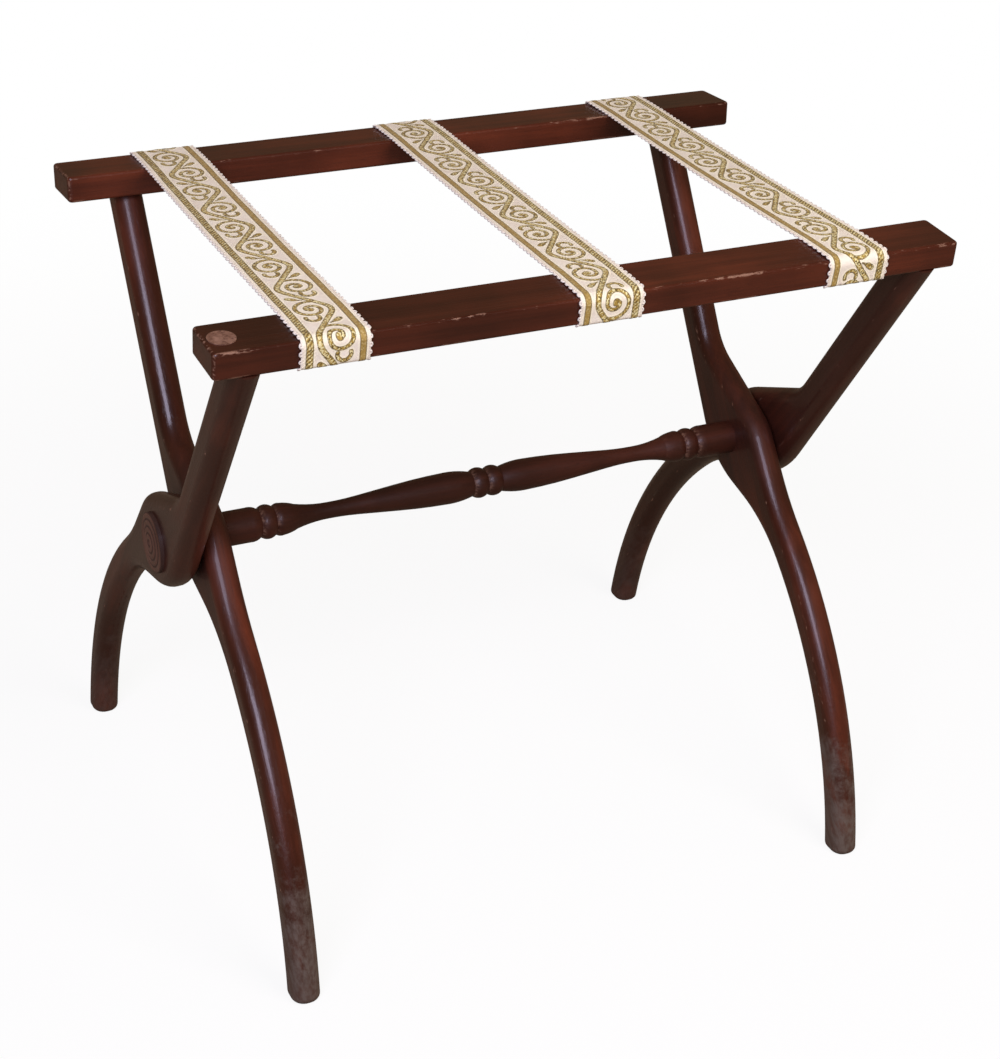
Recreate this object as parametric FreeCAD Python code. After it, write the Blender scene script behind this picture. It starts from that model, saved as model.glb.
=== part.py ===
import FreeCAD
import Part
import math
import os

# Folding luggage bench.
#
# Two wooden frames cross like scissors and turn on one pair of pivot bolts.
# The outer frame carries the front rail, and the inner frame the rear rail
# and the turned stretcher. Three woven straps join the rails and stop the
# bench when it is opened.
#
# Frame: X runs along the rails, Y from the front rail to the rear rail, and
# Z up. The origin is on the floor, under the middle of the open bench.
# All sizes are in millimetres and all angles in degrees.

# Overall sizes
RAIL_LENGTH = 561.4
RAIL_SPACING = 324.0        # between the middles of the rails, bench open
BENCH_HEIGHT = 508.4        # floor to the middle of a rail's top face
FOOT_SPREAD = 419.0         # between the middles of the front and rear feet
PIVOT_HEIGHT = 275.7

# Rails
RAIL_WIDTH = 42.0
RAIL_THICKNESS = 19.6
RAIL_TILT = 3.4             # the top faces lean down and outwards
RAIL_ROUNDING = 2.2
RAIL_END_ROUNDING = 3.6     # the four upright corners

# Legs, sawn from board and rounded over
LEG_THICKNESS = 22.0
LEG_ROUNDING = 10.0
ARM_WIDTH = 29.8
ARM_SETBACK = 29.1          # arm's middle line to the pivot, at pivot height
SEAT_OFFSET = 4.8           # arm stands this far outside the rail's middle
FOOT_WIDTH = 25.4           # along Y, at the floor
FOOT_ROUNDING = 4.5
LEG_BACK_BOW = 28.8         # rise of the lower leg's back above its chord
LEG_FRONT_BOW = 26.9        # rise of the lower leg's hollow side
OUTER_LEG_INSET = 13.0      # rail end to the outer leg's face

# Boss around the pivot, measured from the pivot
SHOULDER_CORNER = (31.0, 25.3)
SHOULDER_SLOPE = 23.2       # top of the shoulder, from level
SHOULDER_ROUNDING = 42.0
CREST_CORNER = (73.5, -28.2)
CREST_ROUNDING = 220.0
GROIN_CORNER = (55.4, -51.0)
GROIN_ROUNDING = 127.0
HEEL_SLOPE = 12.4           # underside of the heel, from level
HEEL_ROUNDING = 82.0
ARMPIT_ROUNDING = 42.0

# Joints between legs, rails and stretcher
TENON_DIAMETER = 15.0
TENON_LENGTH = 12.0
SPIGOT_DIAMETER = 18.0      # stretcher's spigot in the inner leg
SPIGOT_LENGTH = 12.0
GLUE_GAP = 0.05
GLUE_WELL = 0.5             # room left beyond a tenon's end

# Pivot hardware
BOLT_DIAMETER = 8.0
BOLT_GRIP_IN_INSERT = 14.0
BOLT_HEAD_DIAMETER = 14.0
BOLT_HEAD_HEIGHT = 4.0
BOLT_HEAD_ROUNDING = 1.6
BOLT_TIP_CHAMFER = 1.0
HEX_KEY_SIZE = 5.0
HEX_KEY_DEPTH = 2.5
RUNNING_CLEARANCE = 0.05    # radial, where the outer leg turns on the bolt
BOLT_HOLE_CLEARANCE = 0.1   # radial, where the bolt does not turn
INSERT_DIAMETER = 12.0
INSERT_LENGTH = 18.0
LEG_WASHER_DIAMETER = 32.0
LEG_WASHER_THICKNESS = 3.0
HEAD_WASHER_DIAMETER = 22.0
HEAD_WASHER_THICKNESS = 1.5
WASHER_HOLE_CLEARANCE = 0.2
SLIDING_PLAY = 0.05         # between faces that turn on each other

# Turned cap over the bolt head
CAP_DIAMETER = 46.0
CAP_HEIGHT = 5.0
CAP_RIM_HEIGHT = 2.6
CAP_PLUG_DIAMETER = 26.0
CAP_PLUG_LENGTH = 4.5
COUNTERBORE_DEPTH = 11.0
CAP_BUTTON_DIAMETER = 13.0
CAP_DIMPLE_DIAMETER = 5.0
CAP_DIMPLE_DEPTH = 1.5
CAP_RING_COUNT = 4
CAP_RING_CREST = 0.9        # ring's crest above the foot of its outer side
CAP_RING_SHARE = 0.4        # crest's place across the ring's width

# Turned stretcher: diameters, from its middle outwards
CENTRE_GROOVE_DIAMETER = 19.4
SWELL_DIAMETER = 25.0
SWELL_FOOT_DIAMETER = 20.5
TAPER_FOOT_DIAMETER = 14.5
NECK_DIAMETER = 12.6
FLARE_DIAMETER = 19.2
COLLAR_DIAMETER = 24.6
END_GROOVE_DIAMETER = 21.4
END_DIAMETER = 26.5
# lengths of the stretches between them
CENTRE_BEAD_LENGTH = 12.2
SWELL_SHOULDER_LENGTH = 20.8
SWELL_LENGTH = 42.0
TAPER_LENGTH = 33.0
NECK_LENGTH = 24.0
FLARE_LENGTH = 26.0
COLLAR_LENGTH = 10.9
COLLAR_EDGE_LENGTH = 6.4
END_BEAD_LENGTH = 11.8
END_SHOULDER_LENGTH = 8.6
# and how far their curves stand off their chords
CENTRE_BEAD_BOW = 2.4
SWELL_SHOULDER_BOW = 0.8
SWELL_BOW = 0.42
NECK_BOW = 0.3
FLARE_BOW = 0.82
COLLAR_BOW = 0.5
COLLAR_EDGE_BOW = 0.9
END_BEAD_BOW = 2.5
END_SHOULDER_BOW = 1.0

# Straps
STRAP_WIDTH = 50.8
STRAP_THICKNESS = 1.2
STRAP_FROM_LEG = 1.0        # outer straps to the inner legs' faces
MIDDLE_STRAP_SKEW = 9.0     # the middle strap runs this far off square
STRAP_GAP = 0.3             # cloth to wood
STRAP_TURN_UNDER = 24.0     # reach of the strap along the rail's underside

# Tacks under the rails
TACK_HEAD_DIAMETER = 7.0
TACK_HEAD_HEIGHT = 1.0
TACK_SHANK_DIAMETER = 1.8
TACK_LENGTH = 10.0
TACKS_PER_STRAP = 3
TACK_SPACING = 16.0
TACK_GAP = 0.1
TACK_SETBACK = 6.0          # tack to the strap's end

# Round paper label on the front rail
LABEL_DIAMETER = 19.0
LABEL_THICKNESS = 0.6
LABEL_FROM_RAIL_END = 12.5
LABEL_OFFSET = 1.2          # from the rail's middle line, outwards

# Places that follow from the sizes above
LEG_PITCH = LEG_THICKNESS + LEG_WASHER_THICKNESS + 2 * SLIDING_PLAY
OUTER_LEG_X = RAIL_LENGTH / 2 - OUTER_LEG_INSET - LEG_THICKNESS / 2
INNER_LEG_X = OUTER_LEG_X - LEG_PITCH
OUTER_FACE_X = OUTER_LEG_X + LEG_THICKNESS / 2
COUNTERBORE_X = OUTER_FACE_X - COUNTERBORE_DEPTH
INNER_FACE_X = INNER_LEG_X - LEG_THICKNESS / 2
OUTER_STRAP_X = INNER_FACE_X - STRAP_FROM_LEG - STRAP_WIDTH / 2
SPIGOT_END_X = INNER_FACE_X + SPIGOT_LENGTH
HEAD_SEAT_X = COUNTERBORE_X + SLIDING_PLAY + HEAD_WASHER_THICKNESS

X_AXIS = FreeCAD.Vector(1, 0, 0)
Y_AXIS = FreeCAD.Vector(0, 1, 0)
Z_AXIS = FreeCAD.Vector(0, 0, 1)
ORIGIN = FreeCAD.Vector(0, 0, 0)
TOUCH = 0.01                # two places closer than this are the same


def vec(x, y, z):
    """A point or direction."""
    return FreeCAD.Vector(x, y, z)


def side_point(y, z):
    """A point of a side view, in the plane x = 0."""
    return FreeCAD.Vector(0, y, z)


def heading(degrees_below_level):
    """Unit direction towards +Y that falls by the given angle."""
    angle = math.radians(degrees_below_level)
    return side_point(math.cos(angle), -math.sin(angle))


def crossing(point_a, along_a, point_b, along_b):
    """Where two lines of the side view cross."""
    gap = point_b - point_a
    cross = along_a.y * along_b.z - along_a.z * along_b.y
    reach = (gap.y * along_b.z - gap.z * along_b.y) / cross
    return point_a + along_a * reach


def line(start, end):
    """Straight edge."""
    return Part.LineSegment(start, end).toShape()


def bowed(start, end, bow, across):
    """Arc from start to end that rises by bow over its chord, towards across."""
    chord = (end - start).normalize()
    square = (across - chord * across.dot(chord)).normalize()
    crown = (start + end) * 0.5 + square * bow
    return Part.Arc(start, crown, end).toShape()


def centred_cylinder(diameter, start_x, end_x, y=0.0, z=PIVOT_HEIGHT):
    """Round bar along X between two stations."""
    return Part.makeCylinder(
        diameter / 2, end_x - start_x, vec(start_x, y, z), X_AXIS
    )


def mirrored(shape):
    """The same piece on the left side."""
    return shape.mirror(ORIGIN, X_AXIS)


def turned(shape):
    """A piece of the outer frame turned half round for the inner frame."""
    copy = shape.copy()
    copy.rotate(ORIGIN, Z_AXIS, 180)
    return copy


# Rails -----------------------------------------------------------------------


def on_front_rail(shape):
    """Place a shape drawn about the rail's own middle onto the front rail."""
    top_middle = vec(0, -RAIL_SPACING / 2, BENCH_HEIGHT)
    placed = shape.copy()
    placed.translate(vec(0, 0, -RAIL_THICKNESS / 2))
    placed.rotate(ORIGIN, X_AXIS, RAIL_TILT)
    placed.translate(top_middle)
    return placed


def underside_point(from_middle):
    """Point of the front rail's underside, outwards of the rail's middle."""
    mark = Part.Vertex(0, -from_middle, -RAIL_THICKNESS / 2)
    return on_front_rail(mark).Point


def rail_up():
    """Direction square to the front rail's top face."""
    angle = math.radians(RAIL_TILT)
    return side_point(-math.sin(angle), math.cos(angle))


def tenon_seat():
    """Where an arm's middle line meets the front rail's underside."""
    return underside_point(SEAT_OFFSET)


def upright_edges(bar):
    """Edges of a bar from its underside to its top face."""
    return [e for e in bar.Edges if e.BoundBox.ZLength > RAIL_THICKNESS / 2]


def level_edges(bar):
    """Edges round a bar's top face and underside."""
    return [e for e in bar.Edges if e.BoundBox.ZLength < TOUCH]


def rail(leg_x):
    """Front rail with a blind socket for the tenon of each leg."""
    bar = Part.makeBox(
        RAIL_LENGTH,
        RAIL_WIDTH,
        RAIL_THICKNESS,
        vec(-RAIL_LENGTH / 2, -RAIL_WIDTH / 2, -RAIL_THICKNESS / 2),
    )
    bar = bar.makeFillet(RAIL_END_ROUNDING, upright_edges(bar))
    bar = bar.makeFillet(RAIL_ROUNDING, level_edges(bar))
    bar = on_front_rail(bar)
    for x in (-leg_x, leg_x):
        socket = Part.makeCylinder(
            TENON_DIAMETER / 2 + GLUE_GAP,
            TENON_LENGTH + GLUE_WELL,
            tenon_seat() + vec(x, 0, 0),
            rail_up(),
        )
        bar = bar.cut(socket)
    return bar


# Legs ------------------------------------------------------------------------


def leg_corners():
    """Named corners of the leg's side view, arm towards -Y, foot towards +Y."""
    pivot = side_point(0, PIVOT_HEIGHT)
    seat = tenon_seat()
    elbow = side_point(-ARM_SETBACK, PIVOT_HEIGHT)
    up_arm = (seat - elbow).normalize()
    across_arm = side_point(up_arm.z, -up_arm.y)
    half_arm = across_arm * (ARM_WIDTH / 2)
    arm_top = seat + up_arm * ARM_WIDTH
    shoulder = pivot + side_point(*SHOULDER_CORNER)
    groin = pivot + side_point(*GROIN_CORNER)
    foot = side_point(FOOT_SPREAD / 2, 0)
    half_foot = side_point(FOOT_WIDTH / 2, 0)
    return {
        "top_inner": arm_top + half_arm,
        "armpit": crossing(
            seat + half_arm, up_arm, shoulder, heading(SHOULDER_SLOPE)
        ),
        "shoulder": shoulder,
        "crest": pivot + side_point(*CREST_CORNER),
        "foot_back": foot + half_foot,
        "foot_front": foot - half_foot,
        "groin": groin,
        "heel": crossing(seat - half_arm, up_arm, groin, heading(HEEL_SLOPE)),
        "top_outer": arm_top - half_arm,
    }


def leg_outline(corner):
    """Closed outline of a leg through its named corners."""
    back = side_point(1, 1)
    return Part.Wire([
        line(corner["top_inner"], corner["armpit"]),
        line(corner["armpit"], corner["shoulder"]),
        line(corner["shoulder"], corner["crest"]),
        bowed(corner["crest"], corner["foot_back"], LEG_BACK_BOW, back),
        line(corner["foot_back"], corner["foot_front"]),
        bowed(corner["foot_front"], corner["groin"], LEG_FRONT_BOW, back),
        line(corner["groin"], corner["heel"]),
        line(corner["heel"], corner["top_outer"]),
        line(corner["top_outer"], corner["top_inner"]),
    ])


def edge_at(shape, corner):
    """The edge along X that stands on a corner of the side view."""
    for edge in shape.Edges:
        middle = edge.CenterOfMass
        if abs(middle.x) < TOUCH and abs(middle.y - corner.y) < TOUCH:
            if abs(middle.z - corner.z) < TOUCH:
                return edge
    raise ValueError("no edge at %s" % corner)


def rim_edges(shape):
    """Edges of a leg's two flat faces, apart from those on the floor."""
    found = []
    for edge in shape.Edges:
        box = edge.BoundBox
        off_face = abs(abs(box.XMin) - LEG_THICKNESS / 2)
        if box.XLength < TOUCH and off_face < TOUCH and box.ZMax > TOUCH:
            found.append(edge)
    return found


def leg_body():
    """Leg with rounded edges and a tenon, about x = 0, before its pivot hole.

    Its arm ends under the rail and is planed flush with the rail's outer face.
    """
    corner = leg_corners()
    blank = Part.Face(leg_outline(corner)).extrude(vec(LEG_THICKNESS, 0, 0))
    blank.translate(vec(-LEG_THICKNESS / 2, 0, 0))
    for name, radius in (
        ("armpit", ARMPIT_ROUNDING),
        ("shoulder", SHOULDER_ROUNDING),
        ("crest", CREST_ROUNDING),
        ("groin", GROIN_ROUNDING),
        ("heel", HEEL_ROUNDING),
    ):
        blank = blank.makeFillet(radius, [edge_at(blank, corner[name])])
    rounded = blank.makeFillet(LEG_ROUNDING, rim_edges(blank))
    sole = [e for e in rounded.Edges if e.BoundBox.ZMax < TOUCH]
    rounded = rounded.makeFillet(FOOT_ROUNDING, sole)

    seat = tenon_seat()
    above_seat = Part.makeBox(
        2 * LEG_THICKNESS,
        4 * RAIL_WIDTH,
        4 * RAIL_WIDTH,
        vec(-LEG_THICKNESS, -2 * RAIL_WIDTH, 0),
    )
    above_seat.rotate(ORIGIN, X_AXIS, RAIL_TILT)
    above_seat.translate(seat)
    beyond_rail = Part.makeBox(
        2 * LEG_THICKNESS,
        RAIL_WIDTH,
        4 * RAIL_WIDTH,
        vec(-LEG_THICKNESS, -RAIL_WIDTH * 3 / 2, -2 * RAIL_WIDTH),
    )
    arm_end = rounded.cut(above_seat).cut(on_front_rail(beyond_rail))
    tenon = Part.makeCylinder(TENON_DIAMETER / 2, TENON_LENGTH, seat, rail_up())
    return arm_end.fuse(tenon).removeSplitter()


def outer_leg(body):
    """Right outer leg: turns on the bolt, with a recess for its head and cap."""
    leg = body.copy()
    leg.translate(vec(OUTER_LEG_X, 0, 0))
    bore = centred_cylinder(
        BOLT_DIAMETER + 2 * RUNNING_CLEARANCE,
        OUTER_LEG_X - LEG_THICKNESS,
        OUTER_FACE_X,
    )
    recess = centred_cylinder(
        CAP_PLUG_DIAMETER + 2 * GLUE_GAP, COUNTERBORE_X, OUTER_FACE_X + 1
    )
    return leg.cut(bore).cut(recess)


def inner_leg(body):
    """Right inner leg: fixed to the bolt and to the stretcher's spigot."""
    leg = turned(body)
    leg.translate(vec(INNER_LEG_X, 0, 0))
    hole = centred_cylinder(
        BOLT_DIAMETER + 2 * BOLT_HOLE_CLEARANCE,
        INNER_FACE_X - 1,
        INNER_FACE_X + LEG_THICKNESS + 1,
    )
    socket = centred_cylinder(
        SPIGOT_DIAMETER + 2 * GLUE_GAP, INNER_FACE_X - 1, SPIGOT_END_X + GLUE_WELL
    )
    return leg.cut(hole).cut(socket)


# Stretcher -------------------------------------------------------------------


class Lathe:
    """Half profile of a turned piece, drawn outwards along X from its middle."""

    def __init__(self, x, diameter):
        self.tip = vec(x, diameter / 2, 0)
        self.edges = [line(vec(x, 0, 0), self.tip)]

    def turn(self, length, diameter):
        """Straight, conical or square-shouldered stretch."""
        end = vec(self.tip.x + length, diameter / 2, 0)
        self.edges.append(line(self.tip, end))
        self.tip = end

    def turn_bowed(self, length, diameter, bow):
        """Stretch that swells by bow over its chord, or hollows if negative."""
        end = vec(self.tip.x + length, diameter / 2, 0)
        outwards = vec(0, 1, 0) * math.copysign(1, bow)
        self.edges.append(bowed(self.tip, end, abs(bow), outwards))
        self.tip = end

    def solid(self):
        """Close the profile on the axis and revolve it about X."""
        if self.tip.y > 0:
            self.turn(0, 0)
        axis = line(self.tip, self.edges[0].Vertexes[0].Point)
        return Part.Face(Part.Wire(self.edges + [axis])).revolve(ORIGIN, X_AXIS, 360)


def stretcher():
    """Turned stretcher: beads at its middle, long swells, collars and spigots."""
    half = Lathe(0, CENTRE_GROOVE_DIAMETER)
    half.turn_bowed(CENTRE_BEAD_LENGTH, CENTRE_GROOVE_DIAMETER, CENTRE_BEAD_BOW)
    half.turn_bowed(SWELL_SHOULDER_LENGTH, SWELL_DIAMETER, SWELL_SHOULDER_BOW)
    half.turn_bowed(SWELL_LENGTH, SWELL_FOOT_DIAMETER, SWELL_BOW)
    half.turn(TAPER_LENGTH, TAPER_FOOT_DIAMETER)
    half.turn_bowed(NECK_LENGTH, NECK_DIAMETER, -NECK_BOW)
    half.turn_bowed(FLARE_LENGTH, FLARE_DIAMETER, -FLARE_BOW)
    half.turn_bowed(COLLAR_LENGTH, COLLAR_DIAMETER, COLLAR_BOW)
    half.turn_bowed(COLLAR_EDGE_LENGTH, END_GROOVE_DIAMETER, COLLAR_EDGE_BOW)
    half.turn_bowed(END_BEAD_LENGTH, END_GROOVE_DIAMETER, END_BEAD_BOW)
    half.turn_bowed(END_SHOULDER_LENGTH, END_DIAMETER, END_SHOULDER_BOW)
    half.turn(INNER_FACE_X - half.tip.x, END_DIAMETER)
    half.turn(0, SPIGOT_DIAMETER)
    half.turn(SPIGOT_LENGTH, SPIGOT_DIAMETER)
    right = half.solid()
    bar = right.fuse(mirrored(right)).removeSplitter()
    bar.translate(vec(0, 0, PIVOT_HEIGHT))
    pocket = centred_cylinder(
        INSERT_DIAMETER + 2 * GLUE_GAP,
        SPIGOT_END_X - INSERT_LENGTH - GLUE_WELL,
        SPIGOT_END_X + 1,
    )
    return bar.cut(pocket).cut(mirrored(pocket))


# Pivot hardware, right side --------------------------------------------------


def threaded_insert():
    """Insert in the stretcher's spigot that holds the bolt."""
    sleeve = centred_cylinder(
        INSERT_DIAMETER, SPIGOT_END_X - INSERT_LENGTH, SPIGOT_END_X
    )
    thread = centred_cylinder(
        BOLT_DIAMETER + 2 * GLUE_GAP, SPIGOT_END_X - INSERT_LENGTH - 1, SPIGOT_END_X + 1
    )
    return sleeve.cut(thread)


def pivot_bolt():
    """Bolt with a low round head and a hexagon socket."""
    shank = centred_cylinder(
        BOLT_DIAMETER, SPIGOT_END_X - BOLT_GRIP_IN_INSERT, HEAD_SEAT_X
    )
    tip_edge = [e for e in shank.Edges if e.BoundBox.XMax < HEAD_SEAT_X - 1]
    shank = shank.makeChamfer(BOLT_TIP_CHAMFER, tip_edge[:1])
    head = centred_cylinder(
        BOLT_HEAD_DIAMETER, HEAD_SEAT_X, HEAD_SEAT_X + BOLT_HEAD_HEIGHT
    )
    crown = [e for e in head.Edges if e.BoundBox.XMin > HEAD_SEAT_X + 1]
    head = head.makeFillet(BOLT_HEAD_ROUNDING, crown)
    corners = []
    for step in range(7):
        angle = math.radians(60 * step)
        radius = HEX_KEY_SIZE / math.sqrt(3)
        corners.append(vec(
            HEAD_SEAT_X + BOLT_HEAD_HEIGHT - HEX_KEY_DEPTH,
            radius * math.cos(angle),
            PIVOT_HEIGHT + radius * math.sin(angle),
        ))
    key = Part.Face(Part.makePolygon(corners)).extrude(vec(HEX_KEY_DEPTH + 1, 0, 0))
    return shank.fuse(head).cut(key).removeSplitter()


def washer(diameter, thickness, start_x):
    """Flat washer on the bolt."""
    disc = centred_cylinder(diameter, start_x, start_x + thickness)
    hole = centred_cylinder(
        BOLT_DIAMETER + 2 * WASHER_HOLE_CLEARANCE, start_x - 1, start_x + thickness + 1
    )
    return disc.cut(hole)


def pivot_cap():
    """Turned cap with ring mouldings and a plug that fits the recess."""
    ring_width = (CAP_DIAMETER - CAP_DIMPLE_DIAMETER) / 2 / CAP_RING_COUNT
    ring_rise = (CAP_HEIGHT - CAP_RIM_HEIGHT - CAP_RING_CREST) / (CAP_RING_COUNT - 1)
    turning = Lathe(-CAP_PLUG_LENGTH, CAP_PLUG_DIAMETER)
    turning.turn(CAP_PLUG_LENGTH, CAP_PLUG_DIAMETER)
    turning.turn(0, CAP_DIAMETER)
    turning.turn(CAP_RIM_HEIGHT, CAP_DIAMETER)
    for ring in range(CAP_RING_COUNT):
        outer_diameter = CAP_DIAMETER - 2 * ring_width * ring
        turning.turn(CAP_RING_CREST, outer_diameter - 2 * ring_width * CAP_RING_SHARE)
        turning.turn(ring_rise - CAP_RING_CREST, outer_diameter - 2 * ring_width)
    turning.turn(-CAP_DIMPLE_DEPTH, 0)
    cap = turning.solid()
    cap.translate(vec(OUTER_FACE_X, 0, PIVOT_HEIGHT))
    return cap


# Straps and tacks ------------------------------------------------------------


def rounded_bar(margin, length):
    """Rail section grown by a margin, about the rail's own middle."""
    bar = Part.makeBox(
        length,
        RAIL_WIDTH + 2 * margin,
        RAIL_THICKNESS + 2 * margin,
        vec(
            -length / 2,
            -RAIL_WIDTH / 2 - margin,
            -RAIL_THICKNESS / 2 - margin,
        ),
    )
    long_edges = [e for e in bar.Edges if e.BoundBox.XLength > length / 2]
    return bar.makeFillet(RAIL_ROUNDING + margin, long_edges)


def strap_band():
    """Band round both rails and straight across between them, over-wide in X."""
    width = 2 * STRAP_WIDTH
    wrap = rounded_bar(STRAP_GAP + STRAP_THICKNESS, width)
    wrap = wrap.cut(rounded_bar(STRAP_GAP, width + 2))
    open_part = Part.makeBox(
        width + 2,
        RAIL_WIDTH,
        RAIL_THICKNESS,
        vec(-width / 2 - 1, STRAP_TURN_UNDER - RAIL_WIDTH / 2, -RAIL_THICKNESS),
    )
    wrap = on_front_rail(wrap.cut(open_part))

    corner_mark = Part.Vertex(
        0, RAIL_WIDTH / 2 - RAIL_ROUNDING, RAIL_THICKNESS / 2 - RAIL_ROUNDING
    )
    bend = on_front_rail(corner_mark).Point
    inward = Part.makeBox(
        width + 2, RAIL_SPACING, BENCH_HEIGHT, vec(-width / 2 - 1, bend.y, bend.z)
    )
    below = Part.makeBox(
        width + 2,
        RAIL_SPACING,
        BENCH_HEIGHT,
        vec(-width / 2 - 1, bend.y, bend.z - BENCH_HEIGHT),
    )
    wrap = wrap.cut(inward).cut(below)
    span = Part.makeBox(
        width,
        -2 * bend.y,
        STRAP_THICKNESS,
        vec(-width / 2, bend.y, bend.z + RAIL_ROUNDING + STRAP_GAP),
    )
    return wrap.fuse(turned(wrap)).fuse(span).removeSplitter()


def strap_centre(front_x, skew, y):
    """The strap's middle at a place between the rails."""
    return front_x + skew * (y + RAIL_SPACING / 2) / RAIL_SPACING


def strap(band, front_x, skew):
    """One strap: the band cut to its width along its own line."""
    reach = RAIL_SPACING
    corners = []
    for y, side in ((-reach, -1), (-reach, 1), (reach, 1), (reach, -1), (-reach, -1)):
        x = strap_centre(front_x, skew, y) + side * STRAP_WIDTH / 2
        corners.append(vec(x, y, 0))
    cutter = Part.Face(Part.makePolygon(corners)).extrude(vec(0, 0, 2 * BENCH_HEIGHT))
    placed = band.copy()
    placed.translate(vec(front_x + skew / 2, 0, 0))
    cloth = placed.common(cutter)
    for hole in tack_shapes(front_x, skew, TACK_GAP):
        cloth = cloth.cut(hole)
    return cloth


def tack(margin):
    """Tack pointing up, with its head's top face at z = 0, grown by a margin."""
    head = Part.makeCylinder(
        TACK_HEAD_DIAMETER / 2, TACK_HEAD_HEIGHT, vec(0, 0, -TACK_HEAD_HEIGHT)
    )
    shank = Part.makeCylinder(TACK_SHANK_DIAMETER / 2 + margin, TACK_LENGTH + margin)
    if margin > 0:
        return shank
    return head.fuse(shank).removeSplitter()


def front_tacks(centre_x, margin):
    """Row of tacks that holds one strap end under the front rail."""
    row = []
    from_middle = RAIL_WIDTH / 2 - STRAP_TURN_UNDER + TACK_SETBACK
    y = -RAIL_SPACING / 2 - from_middle
    for index in range(TACKS_PER_STRAP):
        step = (index - (TACKS_PER_STRAP - 1) / 2) * TACK_SPACING
        x = centre_x(y) + step
        pin = tack(margin)
        seat_z = -RAIL_THICKNESS / 2 - STRAP_GAP - STRAP_THICKNESS
        pin.translate(vec(x, -from_middle, seat_z))
        row.append(on_front_rail(pin))
    return row


def tack_shapes(front_x, skew, margin):
    """All tacks of one strap, at both rails."""
    front = front_tacks(lambda y: strap_centre(front_x, skew, y), margin)
    rear = front_tacks(lambda y: -strap_centre(front_x, skew, -y), margin)
    return front + [turned(pin) for pin in rear]


# Label -----------------------------------------------------------------------


def label():
    """Round paper label near the left end of the front rail's top."""
    disc = Part.makeCylinder(
        LABEL_DIAMETER / 2,
        LABEL_THICKNESS,
        vec(
            -RAIL_LENGTH / 2 + LABEL_FROM_RAIL_END,
            -LABEL_OFFSET,
            RAIL_THICKNESS / 2,
        ),
    )
    return on_front_rail(disc)


# Whole bench -----------------------------------------------------------------


def bench():
    """Every node of the bench and its shape."""
    body = leg_body()
    band = strap_band()
    straps = {
        "strap_left": (-OUTER_STRAP_X, 0.0),
        "strap_middle": (0.0, MIDDLE_STRAP_SKEW),
        "strap_right": (OUTER_STRAP_X, 0.0),
    }
    tack_holes = []
    tacks = []
    for front_x, skew in straps.values():
        tack_holes += tack_shapes(front_x, skew, TACK_GAP)
        tacks += tack_shapes(front_x, skew, 0.0)
    front_rail = rail(OUTER_LEG_X)
    rear_rail = turned(rail(INNER_LEG_X))
    nodes = {
        "front_rail": front_rail.cut(Part.makeCompound(tack_holes)),
        "rear_rail": rear_rail.cut(Part.makeCompound(tack_holes)),
        "stretcher": stretcher(),
        "front_strap_tacks": Part.makeCompound(
            [pin for pin in tacks if pin.BoundBox.YMax < 0]
        ),
        "rear_strap_tacks": Part.makeCompound(
            [pin for pin in tacks if pin.BoundBox.YMin > 0]
        ),
        "round_label": label(),
    }
    for name, (front_x, skew) in straps.items():
        nodes[name] = strap(band, front_x, skew)
    right_side = {
        "outer_leg": outer_leg(body),
        "inner_leg": inner_leg(body),
        "pivot_bolt": pivot_bolt(),
        "threaded_insert": threaded_insert(),
        "leg_washer": washer(
            LEG_WASHER_DIAMETER,
            LEG_WASHER_THICKNESS,
            INNER_LEG_X + LEG_THICKNESS / 2,
        ),
        "head_washer": washer(
            HEAD_WASHER_DIAMETER, HEAD_WASHER_THICKNESS, COUNTERBORE_X + SLIDING_PLAY
        ),
        "pivot_cap": pivot_cap(),
    }
    for name, shape in right_side.items():
        nodes[name + "_right"] = shape
        nodes[name + "_left"] = mirrored(shape)
    return nodes


os.makedirs("parts", exist_ok=True)
for node, solid in bench().items():
    solid.exportStep("parts/%s.step" % node)
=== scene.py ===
import logging
import math
from dataclasses import dataclass, field
from enum import Enum

import bpy
import numpy as np
from mathutils import Matrix, Vector


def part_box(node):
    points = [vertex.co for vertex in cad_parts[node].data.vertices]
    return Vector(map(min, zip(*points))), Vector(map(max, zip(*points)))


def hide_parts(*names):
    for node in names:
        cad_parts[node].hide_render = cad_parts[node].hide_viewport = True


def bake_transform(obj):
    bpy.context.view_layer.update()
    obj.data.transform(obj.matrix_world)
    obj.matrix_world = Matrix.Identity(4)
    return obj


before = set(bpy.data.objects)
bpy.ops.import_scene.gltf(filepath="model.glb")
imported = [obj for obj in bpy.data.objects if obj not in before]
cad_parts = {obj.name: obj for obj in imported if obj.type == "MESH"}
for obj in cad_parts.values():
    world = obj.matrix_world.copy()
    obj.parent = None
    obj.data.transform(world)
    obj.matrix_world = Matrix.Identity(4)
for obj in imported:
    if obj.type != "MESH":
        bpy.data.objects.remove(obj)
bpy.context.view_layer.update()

# Looks of the folding luggage bench. The wooden frames, their hardware and the label are the
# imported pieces, with finishes made here. The three woven straps are built anew, with their
# scroll pattern standing up from the cloth and a picot edge, in place of the plain bands.

LOG = logging.getLogger("luggage_bench")
MM = 0.001
RAIL_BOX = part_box("front_rail")
STRAP_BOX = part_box("strap_right")

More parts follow.
